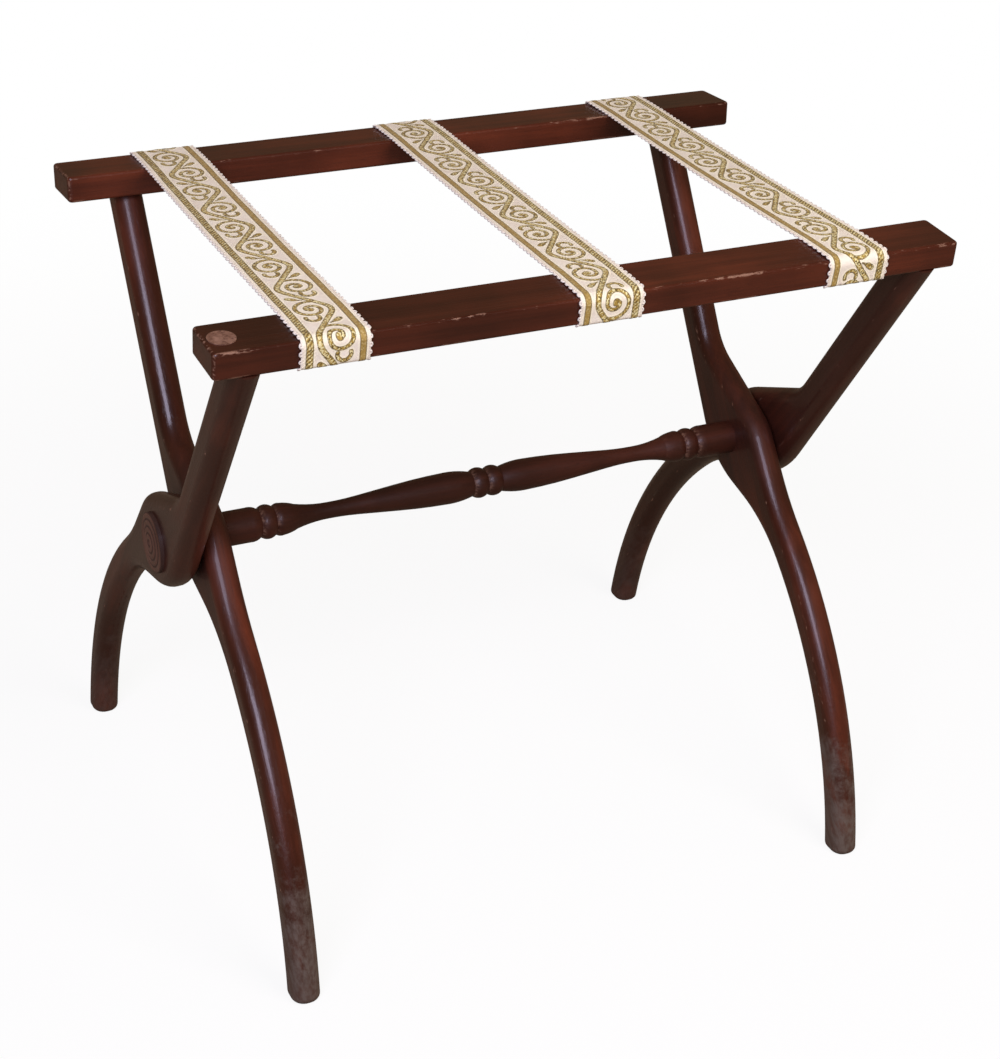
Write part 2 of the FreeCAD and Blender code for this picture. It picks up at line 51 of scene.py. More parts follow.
# Sizes shared with the frame, in millimetres
RAIL_SPACING = 324.0
BENCH_HEIGHT = 508.4
RAIL_WIDTH = 42.0
RAIL_THICKNESS = 19.6
RAIL_LENGTH = (RAIL_BOX[1][0] - RAIL_BOX[0][0]) / MM
RAIL_TILT = 3.4
RAIL_ROUNDING = 2.2
PIVOT_HEIGHT = 275.7
CAP_RING_WIDTH = 5.125
CAP_DIMPLE_RADIUS = 2.5
OUTER_STRAP_X = (STRAP_BOX[0][0] + STRAP_BOX[1][0]) / 2 / MM
STRAP_TURN_UNDER = 24.0

# The rope band's twist, shared by the ribbon's colour and its relief
ROPE_PITCH = 3.0
ROPE_SLOPE = 0.9

# Depth given to places of the ribbon far from any gold, in millimetres
FAR_FROM_GOLD = -9.0

Tree = bpy.types.NodeTree
Socket = bpy.types.NodeSocket
Material = bpy.types.Material
Place = tuple[float, float, float]
Pair = tuple[float, float]
Triple = tuple[float, float, float]

SMOOTH = {"interpolation_type": "SMOOTHSTEP"}
COLOURS = {"data_type": "RGBA"}


def linear(hex_colour: str) -> tuple[float, float, float, float]:
    """Turns an sRGB hex colour into linear values.

    Args:
        hex_colour: Six hex digits after a hash sign.

    Returns:
        Linear red, green and blue, and an alpha of 1.
    """
    parts = [int(hex_colour[i:i + 2], 16) / 255 for i in (1, 3, 5)]
    return (*(c / 12.92 if c <= 0.04045 else ((c + 0.055) / 1.055) ** 2.4 for c in parts), 1.0)


def add_node(
    tree: Tree,
    kind: str,
    inputs: dict | tuple = (),
    stops: tuple = (),
    out: str = "",
    **settings: object,
) -> Socket | None:
    """Adds one shader node with its settings and links.

    Args:
        tree: The material's or world's node tree.
        kind: The node's type, without the leading ShaderNode.
        inputs: Values, hex colours or output sockets, in the node's own order, or by the
            input's name or number.
        stops: For a colour ramp, pairs of place and hex colour.
        out: The name of the output to return.
        **settings: The node's own properties.

    Returns:
        The named output or, with no name, the first one that these settings leave in use. None
        for a node without outputs.
    """
    node = tree.nodes.new("ShaderNode" + kind)
    for name, value in settings.items():
        setattr(node, name, value)
    for key, value in inputs.items() if isinstance(inputs, dict) else enumerate(inputs):
        if isinstance(value, Socket):
            tree.links.new(value, node.inputs[key])
        else:
            node.inputs[key].default_value = linear(value) if isinstance(value, str) else value
    if stops:
        elements = node.color_ramp.elements
        while len(elements) < len(stops):
            elements.new(1.0)
        for element, (place, colour) in zip(elements, stops):
            element.position = place
            element.color = linear(colour)
    if out:
        return node.outputs[out]
    return next((socket for socket in node.outputs if socket.enabled), None)


def new_material(name: str) -> tuple[Material, Tree]:
    """Makes an empty node material.

    Args:
        name: The finish's name.

    Returns:
        The material and its node tree, which has no nodes.
    """
    material = bpy.data.materials.new(name)
    material.use_nodes = True
    material.node_tree.nodes.clear()
    return material, material.node_tree


def finish_surface(tree: Tree, surface: dict, relief: Socket, relief_mm: float) -> None:
    """Ends a material in one Principled surface with a bump.

    Args:
        tree: The material's nodes.
        surface: The Principled inputs.
        relief: Height pattern from 0 to 1.
        relief_mm: Depth of that pattern.
    """
    bump = add_node(tree, "Bump", {"Strength": 1.0, "Distance": relief_mm * MM, "Height": relief})
    shader = add_node(tree, "BsdfPrincipled", {**surface, "Normal": bump})
    add_node(tree, "OutputMaterial", {"Surface": shader})


# Finishes ------------------------------------------------------------------------------------


class GrainRun(Enum):
    """Way the grain runs in a piece: along it, and across it towards the board's face."""

    RAIL = ((1.0, 0.0, 0.0), (0.0, 1.0, 0.0))
    OUTER_LEG = ((0.0, 0.609, -0.793), (0.0, 0.793, 0.609))
    INNER_LEG = ((0.0, -0.609, -0.793), (0.0, 0.793, -0.609))
    CAP = ((0.0, 0.4, 0.917), (0.0, 0.917, -0.4))


class WearAndLightPlace(Enum):
    """Places of wear and of painted light on a wooden piece, with the levels of noise at which its
    marks start and are at their full. On the turned beads the mark is a painted highlight on the
    slopes that face left, towards the key lamp. The caps' rings get painted shade in their hollows
    but no bruises, and so no levels."""

    BOARD_EDGES = (0.60, 0.68)
    LEG_EDGES = (0.62, 0.70)
    # Painted highlight on the turned beads' slopes that face left, towards the key lamp
    BEAD_SLOPES_LIT = (0.42, 0.66)
    # Painted shade in the hollows between the caps' rings
    CAP_RINGS = ()


@dataclass(frozen=True)
class Mark:
    """A mark drawn out along the grain: its length and width, and its octaves of noise."""

    length_mm: float
    width_mm: float
    octaves: float


@dataclass(frozen=True)
class Knock:
    """One knocked stretch along a rail: its middle, half its length and how deep it goes."""

    middle_mm: float
    half_length_mm: float
    depth: float


@dataclass(frozen=True)
class MahoganyStainedWood:
    """Beech boards stained mahogany under satin lacquer, brushed on by hand.

    The eye sees a deep even red brown with faint dark pores along the grain and cloudy changes
    of warmth where the stain took better, a soft sheen on rounded edges, pale bruises where the
    edges are knocked and dull scuffs near the floor. Painted shade darkens the wood about the
    pivot, where the legs cross and in the hollows between a cap's rings, and a painted highlight
    lightens the turned beads' slopes that face left, towards the key lamp. Pairs are the two ends
    of a range.
    """

    name: str
    grain: GrainRun
    wear_and_light: WearAndLightPlace
    board_middle: Place = (0.0, 0.0, 0.0)
    board_tilt: float = 0.0
    knocks: tuple[Knock, ...] = ()
    dark: str = "#32130A"
    middle: str = "#4A1F12"
    light: str = "#662D1A"
    # Colour of pale bruises on knocked edges, and of the painted highlight on the beads' left-facing
    # slopes
    bruise_and_highlight: str = "#A07A66"
    rubbed: str = "#6B5F57"
    # Colour of the painted shade about the pivot
    pivot_shade: str = "#1E0F0B"
    roughness: float = 0.34
    roughness_swing: Pair = (-0.05, 0.08)
    marked_roughness: float = 0.28
    coat: float = 0.30
    coat_roughness: float = 0.13
    lacquer_ior: float = 1.5
    streak: Mark = Mark(260.0, 14.0, 2.0)
    fibre: Mark = Mark(45.0, 1.3, 3.0)
    pore: Mark = Mark(9.0, 0.7, 1.0)
    chip: Mark = Mark(9.0, 2.2, 4.0)
    scratch: Mark = Mark(26.0, 3.0, 5.0)
    cloud_mm: float = 1000 / 9
    scuff_mm: float = 1000 / 46
    brush_ripple_mm: float = 4.0
    relief_mm: float = 0.14
    ripple_share: float = 0.9
    pore_sink: float = -0.8
    cloud_levels: Pair = (0.35, 0.65)
    tone_shares: Triple = (0.35, 0.12, 0.53)
    tone_stops: Triple = (0.36, 0.50, 0.64)
    pore_levels: Pair = (0.60, 0.74)
    pore_darkness: float = 0.35
    edge_band_mm: Pair = (0.6, 2.4)
    edge_wear: float = 0.85
    knock_push: float = 0.20
    edge_facing: tuple[float, ...] = (0.90, 0.955, 0.985, 0.997)
    # Painted highlight on the beads' slopes that face left, towards the key lamp
    lit_bead_slope: Pair = (-0.25, -0.70)
    bead_highlight: float = 0.6
    chip_strength: float = 0.9
    scratch_levels: Pair = (0.36, 0.60)
    scratch_kept: Pair = (0.45, 1.0)
    foot_scuff: float = 0.9
    foot_scuff_mm: Pair = (25.0, 120.0)
    foot_scuff_shift_mm: float = 340.0
    # Painted shade on an inner leg where the legs cross and the outer leg's shadow falls
    crossing_shade: float = 0.0
    crossing_shade_mm: Pair = (20.0, 90.0)
    # Painted shade in the hollows between the caps' rings
    ring_hollow: Pair = (0.2, 1.0)
    ring_shade: float = 0.6

    def grain_noise(self, tree: Tree, grain: Socket, mark: Mark) -> Socket:
        """Noise drawn out along the grain.

        Args:
            tree: The material's nodes.
            grain: Place along and across the grain, in metres.
            mark: Size of its marks.

        Returns:
            The noise, about 0.5.
        """
        across = 1 / (mark.width_mm * MM)
        scale = (1 / (mark.length_mm * MM), across, across)
        drawn = add_node(tree, "VectorMath", (grain, scale), operation="MULTIPLY")
        inputs = {"Vector": drawn, "Scale": 1.0, "Detail": mark.octaves, "Roughness": 0.6}
        return add_node(tree, "TexNoise", inputs)

    def board_depths(self, tree: Tree, point: Socket) -> tuple[Socket, Socket]:
        """Distance from the nearest edge of a rail, and place along it.

        Args:
            tree: The material's nodes.
            point: Object coordinates.

        Returns:
            The second smallest distance from the rail's three pairs of faces, and the distance
            from the rail's middle along it, both in metres.
        """
        offset = add_node(tree, "VectorMath", (point, self.board_middle), operation="SUBTRACT")
        tilt = math.radians(self.board_tilt)
        sides = (
            ((1.0, 0.0, 0.0), RAIL_LENGTH),
            ((0.0, math.cos(tilt), math.sin(tilt)), RAIL_WIDTH),
            ((0.0, -math.sin(tilt), math.cos(tilt)), RAIL_THICKNESS),
        )
        places, depths = [], []
        for axis, size in sides:
            place = add_node(tree, "VectorMath", (offset, axis), operation="DOT_PRODUCT")
            away = add_node(tree, "Math", (place,), operation="ABSOLUTE")
            depths.append(add_node(tree, "Math", (size / 2 * MM, away), operation="SUBTRACT"))
            places.append(place)
        low = add_node(tree, "Math", (depths[0], depths[1]), operation="MINIMUM")
        high = add_node(tree, "Math", (depths[0], depths[1]), operation="MAXIMUM")
        next_up = add_node(tree, "Math", (high, depths[2]), operation="MINIMUM")
        second = add_node(tree, "Math", (low, next_up), operation="MAXIMUM")
        return second, places[0]

    def knocked(self, tree: Tree, along: Socket) -> Socket | float:
        """How hard a rail was knocked at each place along it.

        Args:
            tree: The material's nodes.
            along: Distance from the rail's middle, in metres.

        Returns:
            From 0 to 1.
        """
        total: Socket | float = 0.0
        for knock in self.knocks:
            offset = add_node(tree, "Math", (along, knock.middle_mm * MM), operation="SUBTRACT")
            away = add_node(tree, "Math", (offset,), operation="ABSOLUTE")
            levels = (away, 0.0, knock.half_length_mm * MM, knock.depth, 0.0)
            reach = add_node(tree, "MapRange", levels, **SMOOTH)
            total = add_node(tree, "Math", (reach, total), operation="MAXIMUM")
        return total

    def edges_and_lit_slopes(self, tree: Tree) -> Socket:
        """Places told by the way their surface faces: the legs' rounded edges, which face nearly but
        not quite sideways and are worn, and the turned beads' slopes towards the left, which get a
        painted highlight because they face the key lamp.

        Args:
            tree: The material's nodes.

        Returns:
            On the legs how much the place is a worn edge, on the beads how much painted highlight it
            gets, from 0 to 1.
        """
        normal = add_node(tree, "NewGeometry", out="Normal")
        facing = add_node(tree, "SeparateXYZ", (normal,), out="X")
        # On the beads this is a painted highlight on slopes that face left, towards the key lamp
        if self.wear_and_light is WearAndLightPlace.BEAD_SLOPES_LIT:
            levels = (facing, *self.lit_bead_slope, 0.0, self.bead_highlight)
            return add_node(tree, "MapRange", levels, **SMOOTH)
        side = add_node(tree, "Math", (facing,), operation="ABSOLUTE")
        stops = tuple(zip(self.edge_facing, ("#000000", "#FFFFFF", "#FFFFFF", "#000000")))
        return add_node(tree, "ValToRGB", (side,), stops)

    def bruises_and_lit_slopes(self, tree: Tree, point: Socket, grain: Socket) -> Socket:
        """Knocked and rubbed edges, broken up along their length. On the turned beads, a painted
        highlight on their left-facing slopes, broken up the same way.

        Args:
            tree: The material's nodes.
            point: Object coordinates.
            grain: Place along and across the grain.

        Returns:
            How bruised the surface is, from 0 to 1; on the beads, how much painted highlight it
            gets.
        """
        chips = self.grain_noise(tree, grain, self.chip)
        if self.wear_and_light is WearAndLightPlace.BOARD_EDGES:
            edge, along = self.board_depths(tree, point)
            start, end = self.edge_band_mm
            levels = (edge, start * MM, end * MM, self.edge_wear, 0.0)
            near = add_node(tree, "MapRange", levels, **SMOOTH)
            pushed = (self.knocked(tree, along), self.knock_push, chips)
            chips = add_node(tree, "Math", pushed, operation="MULTIPLY_ADD")
        else:
            near = self.edges_and_lit_slopes(tree)
        levels = (chips, *self.wear_and_light.value, 0.0, self.chip_strength)
        marked = add_node(tree, "MapRange", levels, **SMOOTH)
        return add_node(tree, "Math", (near, marked), operation="MULTIPLY")

    def pivot_painted_shade(self, tree: Tree, point: Socket) -> Socket:
        """Painted shade about the pivot: in the hollows between a cap's turned rings, and on a leg
        where the legs cross and the other leg's shadow falls.

        Args:
            tree: The material's nodes.
            point: Object coordinates.

        Returns:
            How much painted shade the surface gets, from 0 to 1.
        """
        flat = add_node(tree, "VectorMath", (point, (0.0, 1.0, 1.0)), operation="MULTIPLY")
        pivot = (0.0, 0.0, PIVOT_HEIGHT * MM)
        radius = add_node(tree, "VectorMath", (flat, pivot), operation="DISTANCE")
        # Painted shade where the legs cross, fading away from the pivot
        start, end = self.crossing_shade_mm
        levels = (radius, start * MM, end * MM, self.crossing_shade, 0.0)
        # On a cap, painted shade in the hollows between its turned rings
        if self.wear_and_light is WearAndLightPlace.CAP_RINGS:
            step = 2 * math.pi / CAP_RING_WIDTH
            inputs = (radius, step / MM, -step * CAP_DIMPLE_RADIUS)
            turn = add_node(tree, "Math", inputs, operation="MULTIPLY_ADD")
            wave = add_node(tree, "Math", (turn,), operation="COSINE")
            levels = (wave, *self.ring_hollow, 0.0, self.ring_shade)
        return add_node(tree, "MapRange", levels, **SMOOTH)

    def foot_rub(self, tree: Tree, point: Socket, grain: Socket) -> Socket:
        """Lacquer scuffed dull towards the floor, in streaks along the grain.

        Args:
            tree: The material's nodes.
            point: Object coordinates.
            grain: Place along and across the grain.

        Returns:
            How scuffed the surface is, from 0 to 1.
        """
        height = add_node(tree, "SeparateXYZ", (point,), out="Z")
        scale = 1 / (self.scuff_mm * MM)
        inputs = {"Vector": point, "Scale": scale, "Detail": 7.0, "Roughness": 0.75}
        ragged = add_node(tree, "TexNoise", inputs)
        shift = self.foot_scuff_shift_mm * MM
        moved = add_node(tree, "Math", (ragged, shift, -shift / 2), operation="MULTIPLY_ADD")
        level = add_node(tree, "Math", (height, moved), operation="ADD")
        start, end = self.foot_scuff_mm
        inputs = (level, start * MM, end * MM, self.foot_scuff, 0.0)
        scuffed = add_node(tree, "MapRange", inputs, **SMOOTH)
        scratches = self.grain_noise(tree, grain, self.scratch)
        kept = add_node(tree, "MapRange", (scratches, *self.scratch_levels, *self.scratch_kept))
        return add_node(tree, "Math", (scuffed, kept), operation="MULTIPLY")

    def wear_and_painted_light(self, tree: Tree, point: Socket, grain: Socket) -> list[tuple[Socket, str]]:
        """All the wear, painted shade and painted highlight that the piece has.

        Args:
            tree: The material's nodes.
            point: Object coordinates.
            grain: Place along and across the grain.

        Returns:
            For each kind, from the lowest layer up, its amount from 0 to 1 and its colour.
        """
        worn = []
        if self.wear_and_light is WearAndLightPlace.CAP_RINGS or self.crossing_shade > 0:
            # Painted shade about the pivot
            worn.append((self.pivot_painted_shade(tree, point), self.pivot_shade))
        if self.wear_and_light is not WearAndLightPlace.CAP_RINGS:
            worn.append((self.bruises_and_lit_slopes(tree, point, grain), self.bruise_and_highlight))
        if self.wear_and_light is WearAndLightPlace.LEG_EDGES:
            worn.append((self.foot_rub(tree, point, grain), self.rubbed))
        return worn

    def build(self) -> Material:
        """Makes the material.

        Returns:
            The finished wood.
        """
        material, tree = new_material(self.name)
        point = add_node(tree, "TexCoord", out="Object")
        along, across = self.grain.value
        side = tuple(Vector(along).cross(Vector(across)))
        places = [
            add_node(tree, "VectorMath", (point, axis), operation="DOT_PRODUCT")
            for axis in (along, across, side)
        ]
        grain = add_node(tree, "CombineXYZ", tuple(places))
        streak, fibre, pore = (
            self.grain_noise(tree, grain, mark) for mark in (self.streak, self.fibre, self.pore)
        )
        scale = 1 / (self.cloud_mm * MM)
        inputs = {"Vector": point, "Scale": scale, "Detail": 3.0, "Roughness": 0.5}
        cloud = add_node(tree, "TexNoise", inputs)

        tone: Socket | float = 0.0
        for pattern, share in zip((streak, fibre, cloud), self.tone_shares):
            tone = add_node(tree, "Math", (pattern, share, tone), operation="MULTIPLY_ADD")
        stops = tuple(zip(self.tone_stops, (self.dark, self.middle, self.light)))
        stain = add_node(tree, "ValToRGB", (tone,), stops)
        pores = add_node(tree, "MapRange", (pore, *self.pore_levels, 0.0, self.pore_darkness))
        colour = add_node(tree, "Mix", {0: pores, 6: stain, 7: self.dark}, **COLOURS)
        low, high = (self.roughness + swing for swing in self.roughness_swing)
        rough = add_node(tree, "MapRange", (cloud, *self.cloud_levels, low, high))
        # Layers of wear, of painted shade and of painted highlight each tint the colour and roughen
        # the lacquer
        for amount, marked in self.wear_and_painted_light(tree, point, grain):
            colour = add_node(tree, "Mix", {0: amount, 6: colour, 7: marked}, **COLOURS)
            inputs = (amount, self.marked_roughness, rough)
            rough = add_node(tree, "Math", inputs, operation="MULTIPLY_ADD")

        scale = 1 / (self.brush_ripple_mm * MM)
        peel = add_node(tree, "TexNoise", {"Vector": point, "Scale": scale, "Detail": 2.0})
        inputs = (peel, self.ripple_share, fibre)
        ripple = add_node(tree, "Math", inputs, operation="MULTIPLY_ADD")
        relief = add_node(tree, "Math", (pores, self.pore_sink, ripple), operation="MULTIPLY_ADD")
        surface = {
            "Base Color": colour,
            "Roughness": rough,
            "IOR": self.lacquer_ior,
            "Coat Weight": self.coat,
            "Coat Roughness": self.coat_roughness,
            "Coat IOR": self.lacquer_ior,
        }
        finish_surface(tree, surface, relief, self.relief_mm)
        return material


@dataclass(frozen=True)
class Metal:
    """Small turned or pressed metal parts: zinc-plated steel, or brass. Fine lathe lines
    soften the shine, and a thin cloudy film dulls it in places."""

    name: str
    colour: str
    tarnish: str
    roughness: float = 0.3
    tarnish_roughness: float = 0.2
    film_mm: float = 6.25
    film_levels: Pair = (0.3, 0.7)
    lathe_line_mm: float = 0.25
    relief_mm: float = 0.02

    def build(self) -> Material:
        """Makes the material.

        Returns:
            The finished metal.
        """
        material, tree = new_material(self.name)
        point = add_node(tree, "TexCoord", out="Object")
        film, lines = (
            add_node(tree, "TexNoise", {"Vector": point, "Scale": 1 / (size * MM), "Detail": detail})
            for size, detail in ((self.film_mm, 4.0), (self.lathe_line_mm, 2.0))
        )
        colour = add_node(tree, "Mix", {0: film, 6: self.colour, 7: self.tarnish}, **COLOURS)
        dulled = self.roughness + self.tarnish_roughness
        levels = (film, *self.film_levels, self.roughness, dulled)
        rough = add_node(tree, "MapRange", levels)
        surface = {"Base Color": colour, "Roughness": rough, "Metallic": 1.0}
        finish_surface(tree, surface, lines, self.relief_mm)
        return material


@dataclass(frozen=True)
class AgedPaper:
    """Uncoated card disc gone tan with age: soft blotches, darker rubbed patches and a
    slightly furry matt surface."""

    name: str = "aged_card"
    pale: str = "#957160"
    tan: str = "#775544"
    stain: str = "#54352A"
    blotch_mm: float = 1000 / 170
    patch_mm: float = 1000 / 210
    patch_levels: Pair = (0.54, 0.64)
    patch_depth: float = 0.65
    relief_mm: float = 0.08

    def build(self) -> Material:
        """Makes the material.

        Returns:
            The finished card.
        """
        material, tree = new_material(self.name)
        point = add_node(tree, "TexCoord", out="Object")
        scale = 1 / (self.blotch_mm * MM)
        inputs = {"Vector": point, "Scale": scale, "Detail": 5.0, "Roughness": 0.6}
        blotch = add_node(tree, "TexNoise", inputs)
        scale = 1 / (self.patch_mm * MM)
        inputs = {"Vector": point, "Scale": scale, "Detail": 2.0, "Distortion": 1.6}
        rubbed = add_node(tree, "TexNoise", inputs)
        ground = add_node(tree, "ValToRGB", (blotch,), ((0.38, self.tan), (0.62, self.pale)))
        patches = add_node(tree, "MapRange", (rubbed, *self.patch_levels, 0.0, self.patch_depth))
        colour = add_node(tree, "Mix", {0: patches, 6: ground, 7: self.stain}, **COLOURS)
        surface = {"Base Color": colour, "Roughness": 0.75, "IOR": 1.45}
        finish_surface(tree, surface, blotch, self.relief_mm)
        return material


@dataclass(frozen=True)
class JacquardRibbon:
    """Jacquard-woven cotton ribbon, cream with a scroll in gold lurex.

    The cotton ground is matt with a fine rib. The lurex is a flat metallised thread that floats
    over the ground: its glints are painted into its colour as bright specks, thread by thread, and
    painted shade darkens the edge of each raised float. A yellower cotton weft shows as a pale
    outline round each float. Thread spacing is 0.45 mm, and rib and specks are drawn about twice
    as coarse so that they show. The rope band gets painted shade in the hollows of its twist and a
    painted highlight on its crowns; each holds where in the twist it starts, where it is at its
    full, and how strong it is. The stem's beads get a painted highlight too.
    """

    name: str = "jacquard_ribbon"
    cream: str = "#FBF4E6"
    shade: str = "#E8DCCB"
    outline: str = "#FFF8E0"
    gold: str = "#BFA04C"
    dark_gold: str = "#6A592C"
    # Painted shade along the edge of each raised float
    float_edge_shade: str = "#6B6148"
    # Painted shade in the hollows of the rope band's twist
    rope_hollow_shade: str = "#705C2E"
    # Painted glint: bright specks in the lurex, the rope band's crowns and the stem's beads
    painted_glint: str = "#FFF6BC"
    plain_gold: str = "#B89A55"
    rib_mm: float = 0.9
    speck_mm: float = 1.0
    soil_mm: float = 1000 / 60
    relief_mm: float = 0.12
    plain_evenness: float = 0.75
    # Painted shade in the twist's hollows, painted highlight on its crowns
    rope_hollow: Triple = (0.2, 0.9, 0.75)
    rope_crown: Triple = (-0.55, -1.0, 0.5)
    bead_levels: Pair = (0.45, 0.8)
    bead_shine: float = 0.85
    rib_contrast: float = 0.22
    outline_mm: Pair = (-1.8, -0.7)
    outline_strength: float = 0.9
    edge_raggedness_mm: float = 0.16
    # Width and strength of the painted shade at the gold's edge
    edge_shade_mm: Pair = (0.35, 0.95)
    edge_shade_depth: float = 0.7
    metallic: float = 0.15
    cotton_roughness: float = 0.9
    gold_roughness: float = 0.45
    sheen: float = 0.1

    def lurex(self, tree: Tree, uv: Socket, slant: Socket, marks: dict[str, Socket]) -> Socket:
        """Colour of the gold thread, with painted glints in its specks and on the stem's beads, and
        painted shade and highlight on the rope band's twist.

        Args:
            tree: The material's nodes.
            uv: Place on the ribbon, in metres.
            slant: Place along the rope band's twist, in metres.
            marks: The strap's attributes by name.

        Returns:
            The colour.
        """
        inputs = {"Vector": uv, "Scale": 1 / (self.speck_mm * MM), "Randomness": 0.75}
        specks = add_node(tree, "TexVoronoi", inputs, out="Color", voronoi_dimensions="2D")
        chance = add_node(tree, "SeparateColor", (specks,))
        # Random tone of the thread; its brightest specks are a painted glint
        stops = ((0.06, self.dark_gold), (0.38, self.gold), (0.62, self.gold), (0.88, self.painted_glint))
        thread = add_node(tree, "ValToRGB", (chance,), stops)
        even = add_node(tree, "Math", (marks["plain"], self.plain_evenness), operation="MULTIPLY")
        colour = add_node(tree, "Mix", {0: even, 6: thread, 7: self.plain_gold}, **COLOURS)
        turns = 2 * math.pi / (ROPE_PITCH * MM)
        turn = add_node(tree, "Math", (slant, turns), operation="MULTIPLY")
        twist = add_node(tree, "Math", (turn,), operation="SINE")
        # Painted shade in the twist's hollows and painted highlight on its crowns
        tints = ((self.rope_hollow_shade, self.rope_hollow), (self.painted_glint, self.rope_crown))
        for tint, (start, full, strength) in tints:
            reach = add_node(tree, "MapRange", (twist, start, full, 0.0, strength), **SMOOTH)
            share = add_node(tree, "Math", (reach, marks["rope"]), operation="MULTIPLY")
            colour = add_node(tree, "Mix", {0: share, 6: colour, 7: tint}, **COLOURS)
        # Painted highlight on the stem's beads
        levels = (marks["bead"], *self.bead_levels, 0.0, self.bead_shine)
        beads = add_node(tree, "MapRange", levels, **SMOOTH)
        return add_node(tree, "Mix", {0: beads, 6: colour, 7: self.painted_glint}, **COLOURS)

    def build(self) -> Material:
        """Makes the material.

        Returns:
            The finished ribbon, which reads the strap's own map and attributes.
        """
        material, tree = new_material(self.name)
        uv = add_node(tree, "UVMap", uv_map="weave")
        marks = {
            name: add_node(tree, "Attribute", out="Fac", attribute_name=name)
            for name in ("gold_edge", "rope", "plain", "bead")
        }
        across, run = (add_node(tree, "SeparateXYZ", (uv,), out=axis) for axis in "XY")
        slant = add_node(tree, "Math", (across, ROPE_SLOPE, run), operation="MULTIPLY_ADD")

        turns = 2 * math.pi / (self.rib_mm * MM)
        ribs = []
        for place in (run, across):
            turn = add_node(tree, "Math", (place, turns), operation="MULTIPLY")
            ribs.append(add_node(tree, "Math", (turn,), operation="SINE"))
        check = add_node(tree, "Math", tuple(ribs), operation="MULTIPLY")
        weave = add_node(tree, "MapRange", (check, -1.0, 1.0, 0.0, 1.0))
        scale = 1 / (self.soil_mm * MM)
        inputs = {"Vector": uv, "Scale": scale, "Detail": 5.0, "Roughness": 0.65}
        soil = add_node(tree, "TexNoise", inputs)
        soft = add_node(tree, "Math", (weave, self.rib_contrast, soil), operation="MULTIPLY_ADD")
        ground = add_node(tree, "ValToRGB", (soft,), ((0.40, self.shade), (0.72, self.cream)))
        levels = (marks["gold_edge"], *self.outline_mm, 0.0, self.outline_strength)
        beside = add_node(tree, "MapRange", levels, **SMOOTH)
        cotton = add_node(tree, "Mix", {0: beside, 6: ground, 7: self.outline}, **COLOURS)

        reach = self.edge_raggedness_mm
        inputs = (check, reach, marks["gold_edge"])
        ragged = add_node(tree, "Math", inputs, operation="MULTIPLY_ADD")
        mask = add_node(tree, "MapRange", (ragged, -reach, reach, 0.0, 1.0), **SMOOTH)
        # Painted shade along the edge of each raised float
        levels = (ragged, *self.edge_shade_mm, self.edge_shade_depth, 0.0)
        edge_shade = add_node(tree, "MapRange", levels, **SMOOTH)
        thread = self.lurex(tree, uv, slant, marks)
        gold = add_node(tree, "Mix", {0: edge_shade, 6: thread, 7: self.float_edge_shade}, **COLOURS)
        colour = add_node(tree, "Mix", {0: mask, 6: cotton, 7: gold}, **COLOURS)
        metal = add_node(tree, "Math", (mask, self.metallic), operation="MULTIPLY")
        levels = (mask, 0.0, 1.0, self.cotton_roughness, self.gold_roughness)
        rough = add_node(tree, "MapRange", levels)
        surface = {
            "Base Color": colour,
            "Metallic": metal,
            "Roughness": rough,
            "IOR": 1.45,
            "Sheen Weight": self.sheen,
            "Sheen Roughness": 0.5,
        }
        finish_surface(tree, surface, weave, self.relief_mm)
        return material


@dataclass(frozen=True)
class CottonThread:
    """Twisted cotton thread of the picot edge: matt off-white with a fine slanting twist."""

    name: str = "cotton_thread"
    colour: str = "#F4EFE8"
    shade: str = "#D9CEC4"
    twist_mm: float = 0.6
    relief_mm: float = 0.15

    def build(self) -> Material:
        """Makes the material.

        Returns:
            The finished thread.
        """
        material, tree = new_material(self.name)
        point = add_node(tree, "TexCoord", out="Object")
        scale = 1 / (self.twist_mm * MM)
        twist = add_node(tree, "TexNoise", {"Vector": point, "Scale": scale, "Detail": 2.0})
        colour = add_node(tree, "ValToRGB", (twist,), ((0.32, self.shade), (0.6, self.colour)))
        surface = {"Base Color": colour, "Roughness": 0.9, "Sheen Weight": 0.1}
        finish_surface(tree, surface, twist, self.relief_mm)
        return material


# Straps --------------------------------------------------------------------------------------


class ScrollWay(Enum):
    """Which way round the ribbon was cut: the sign turns the pattern half round."""

    ROPE_BAND_LEFT = 1.0
    ROPE_BAND_RIGHT = -1.0


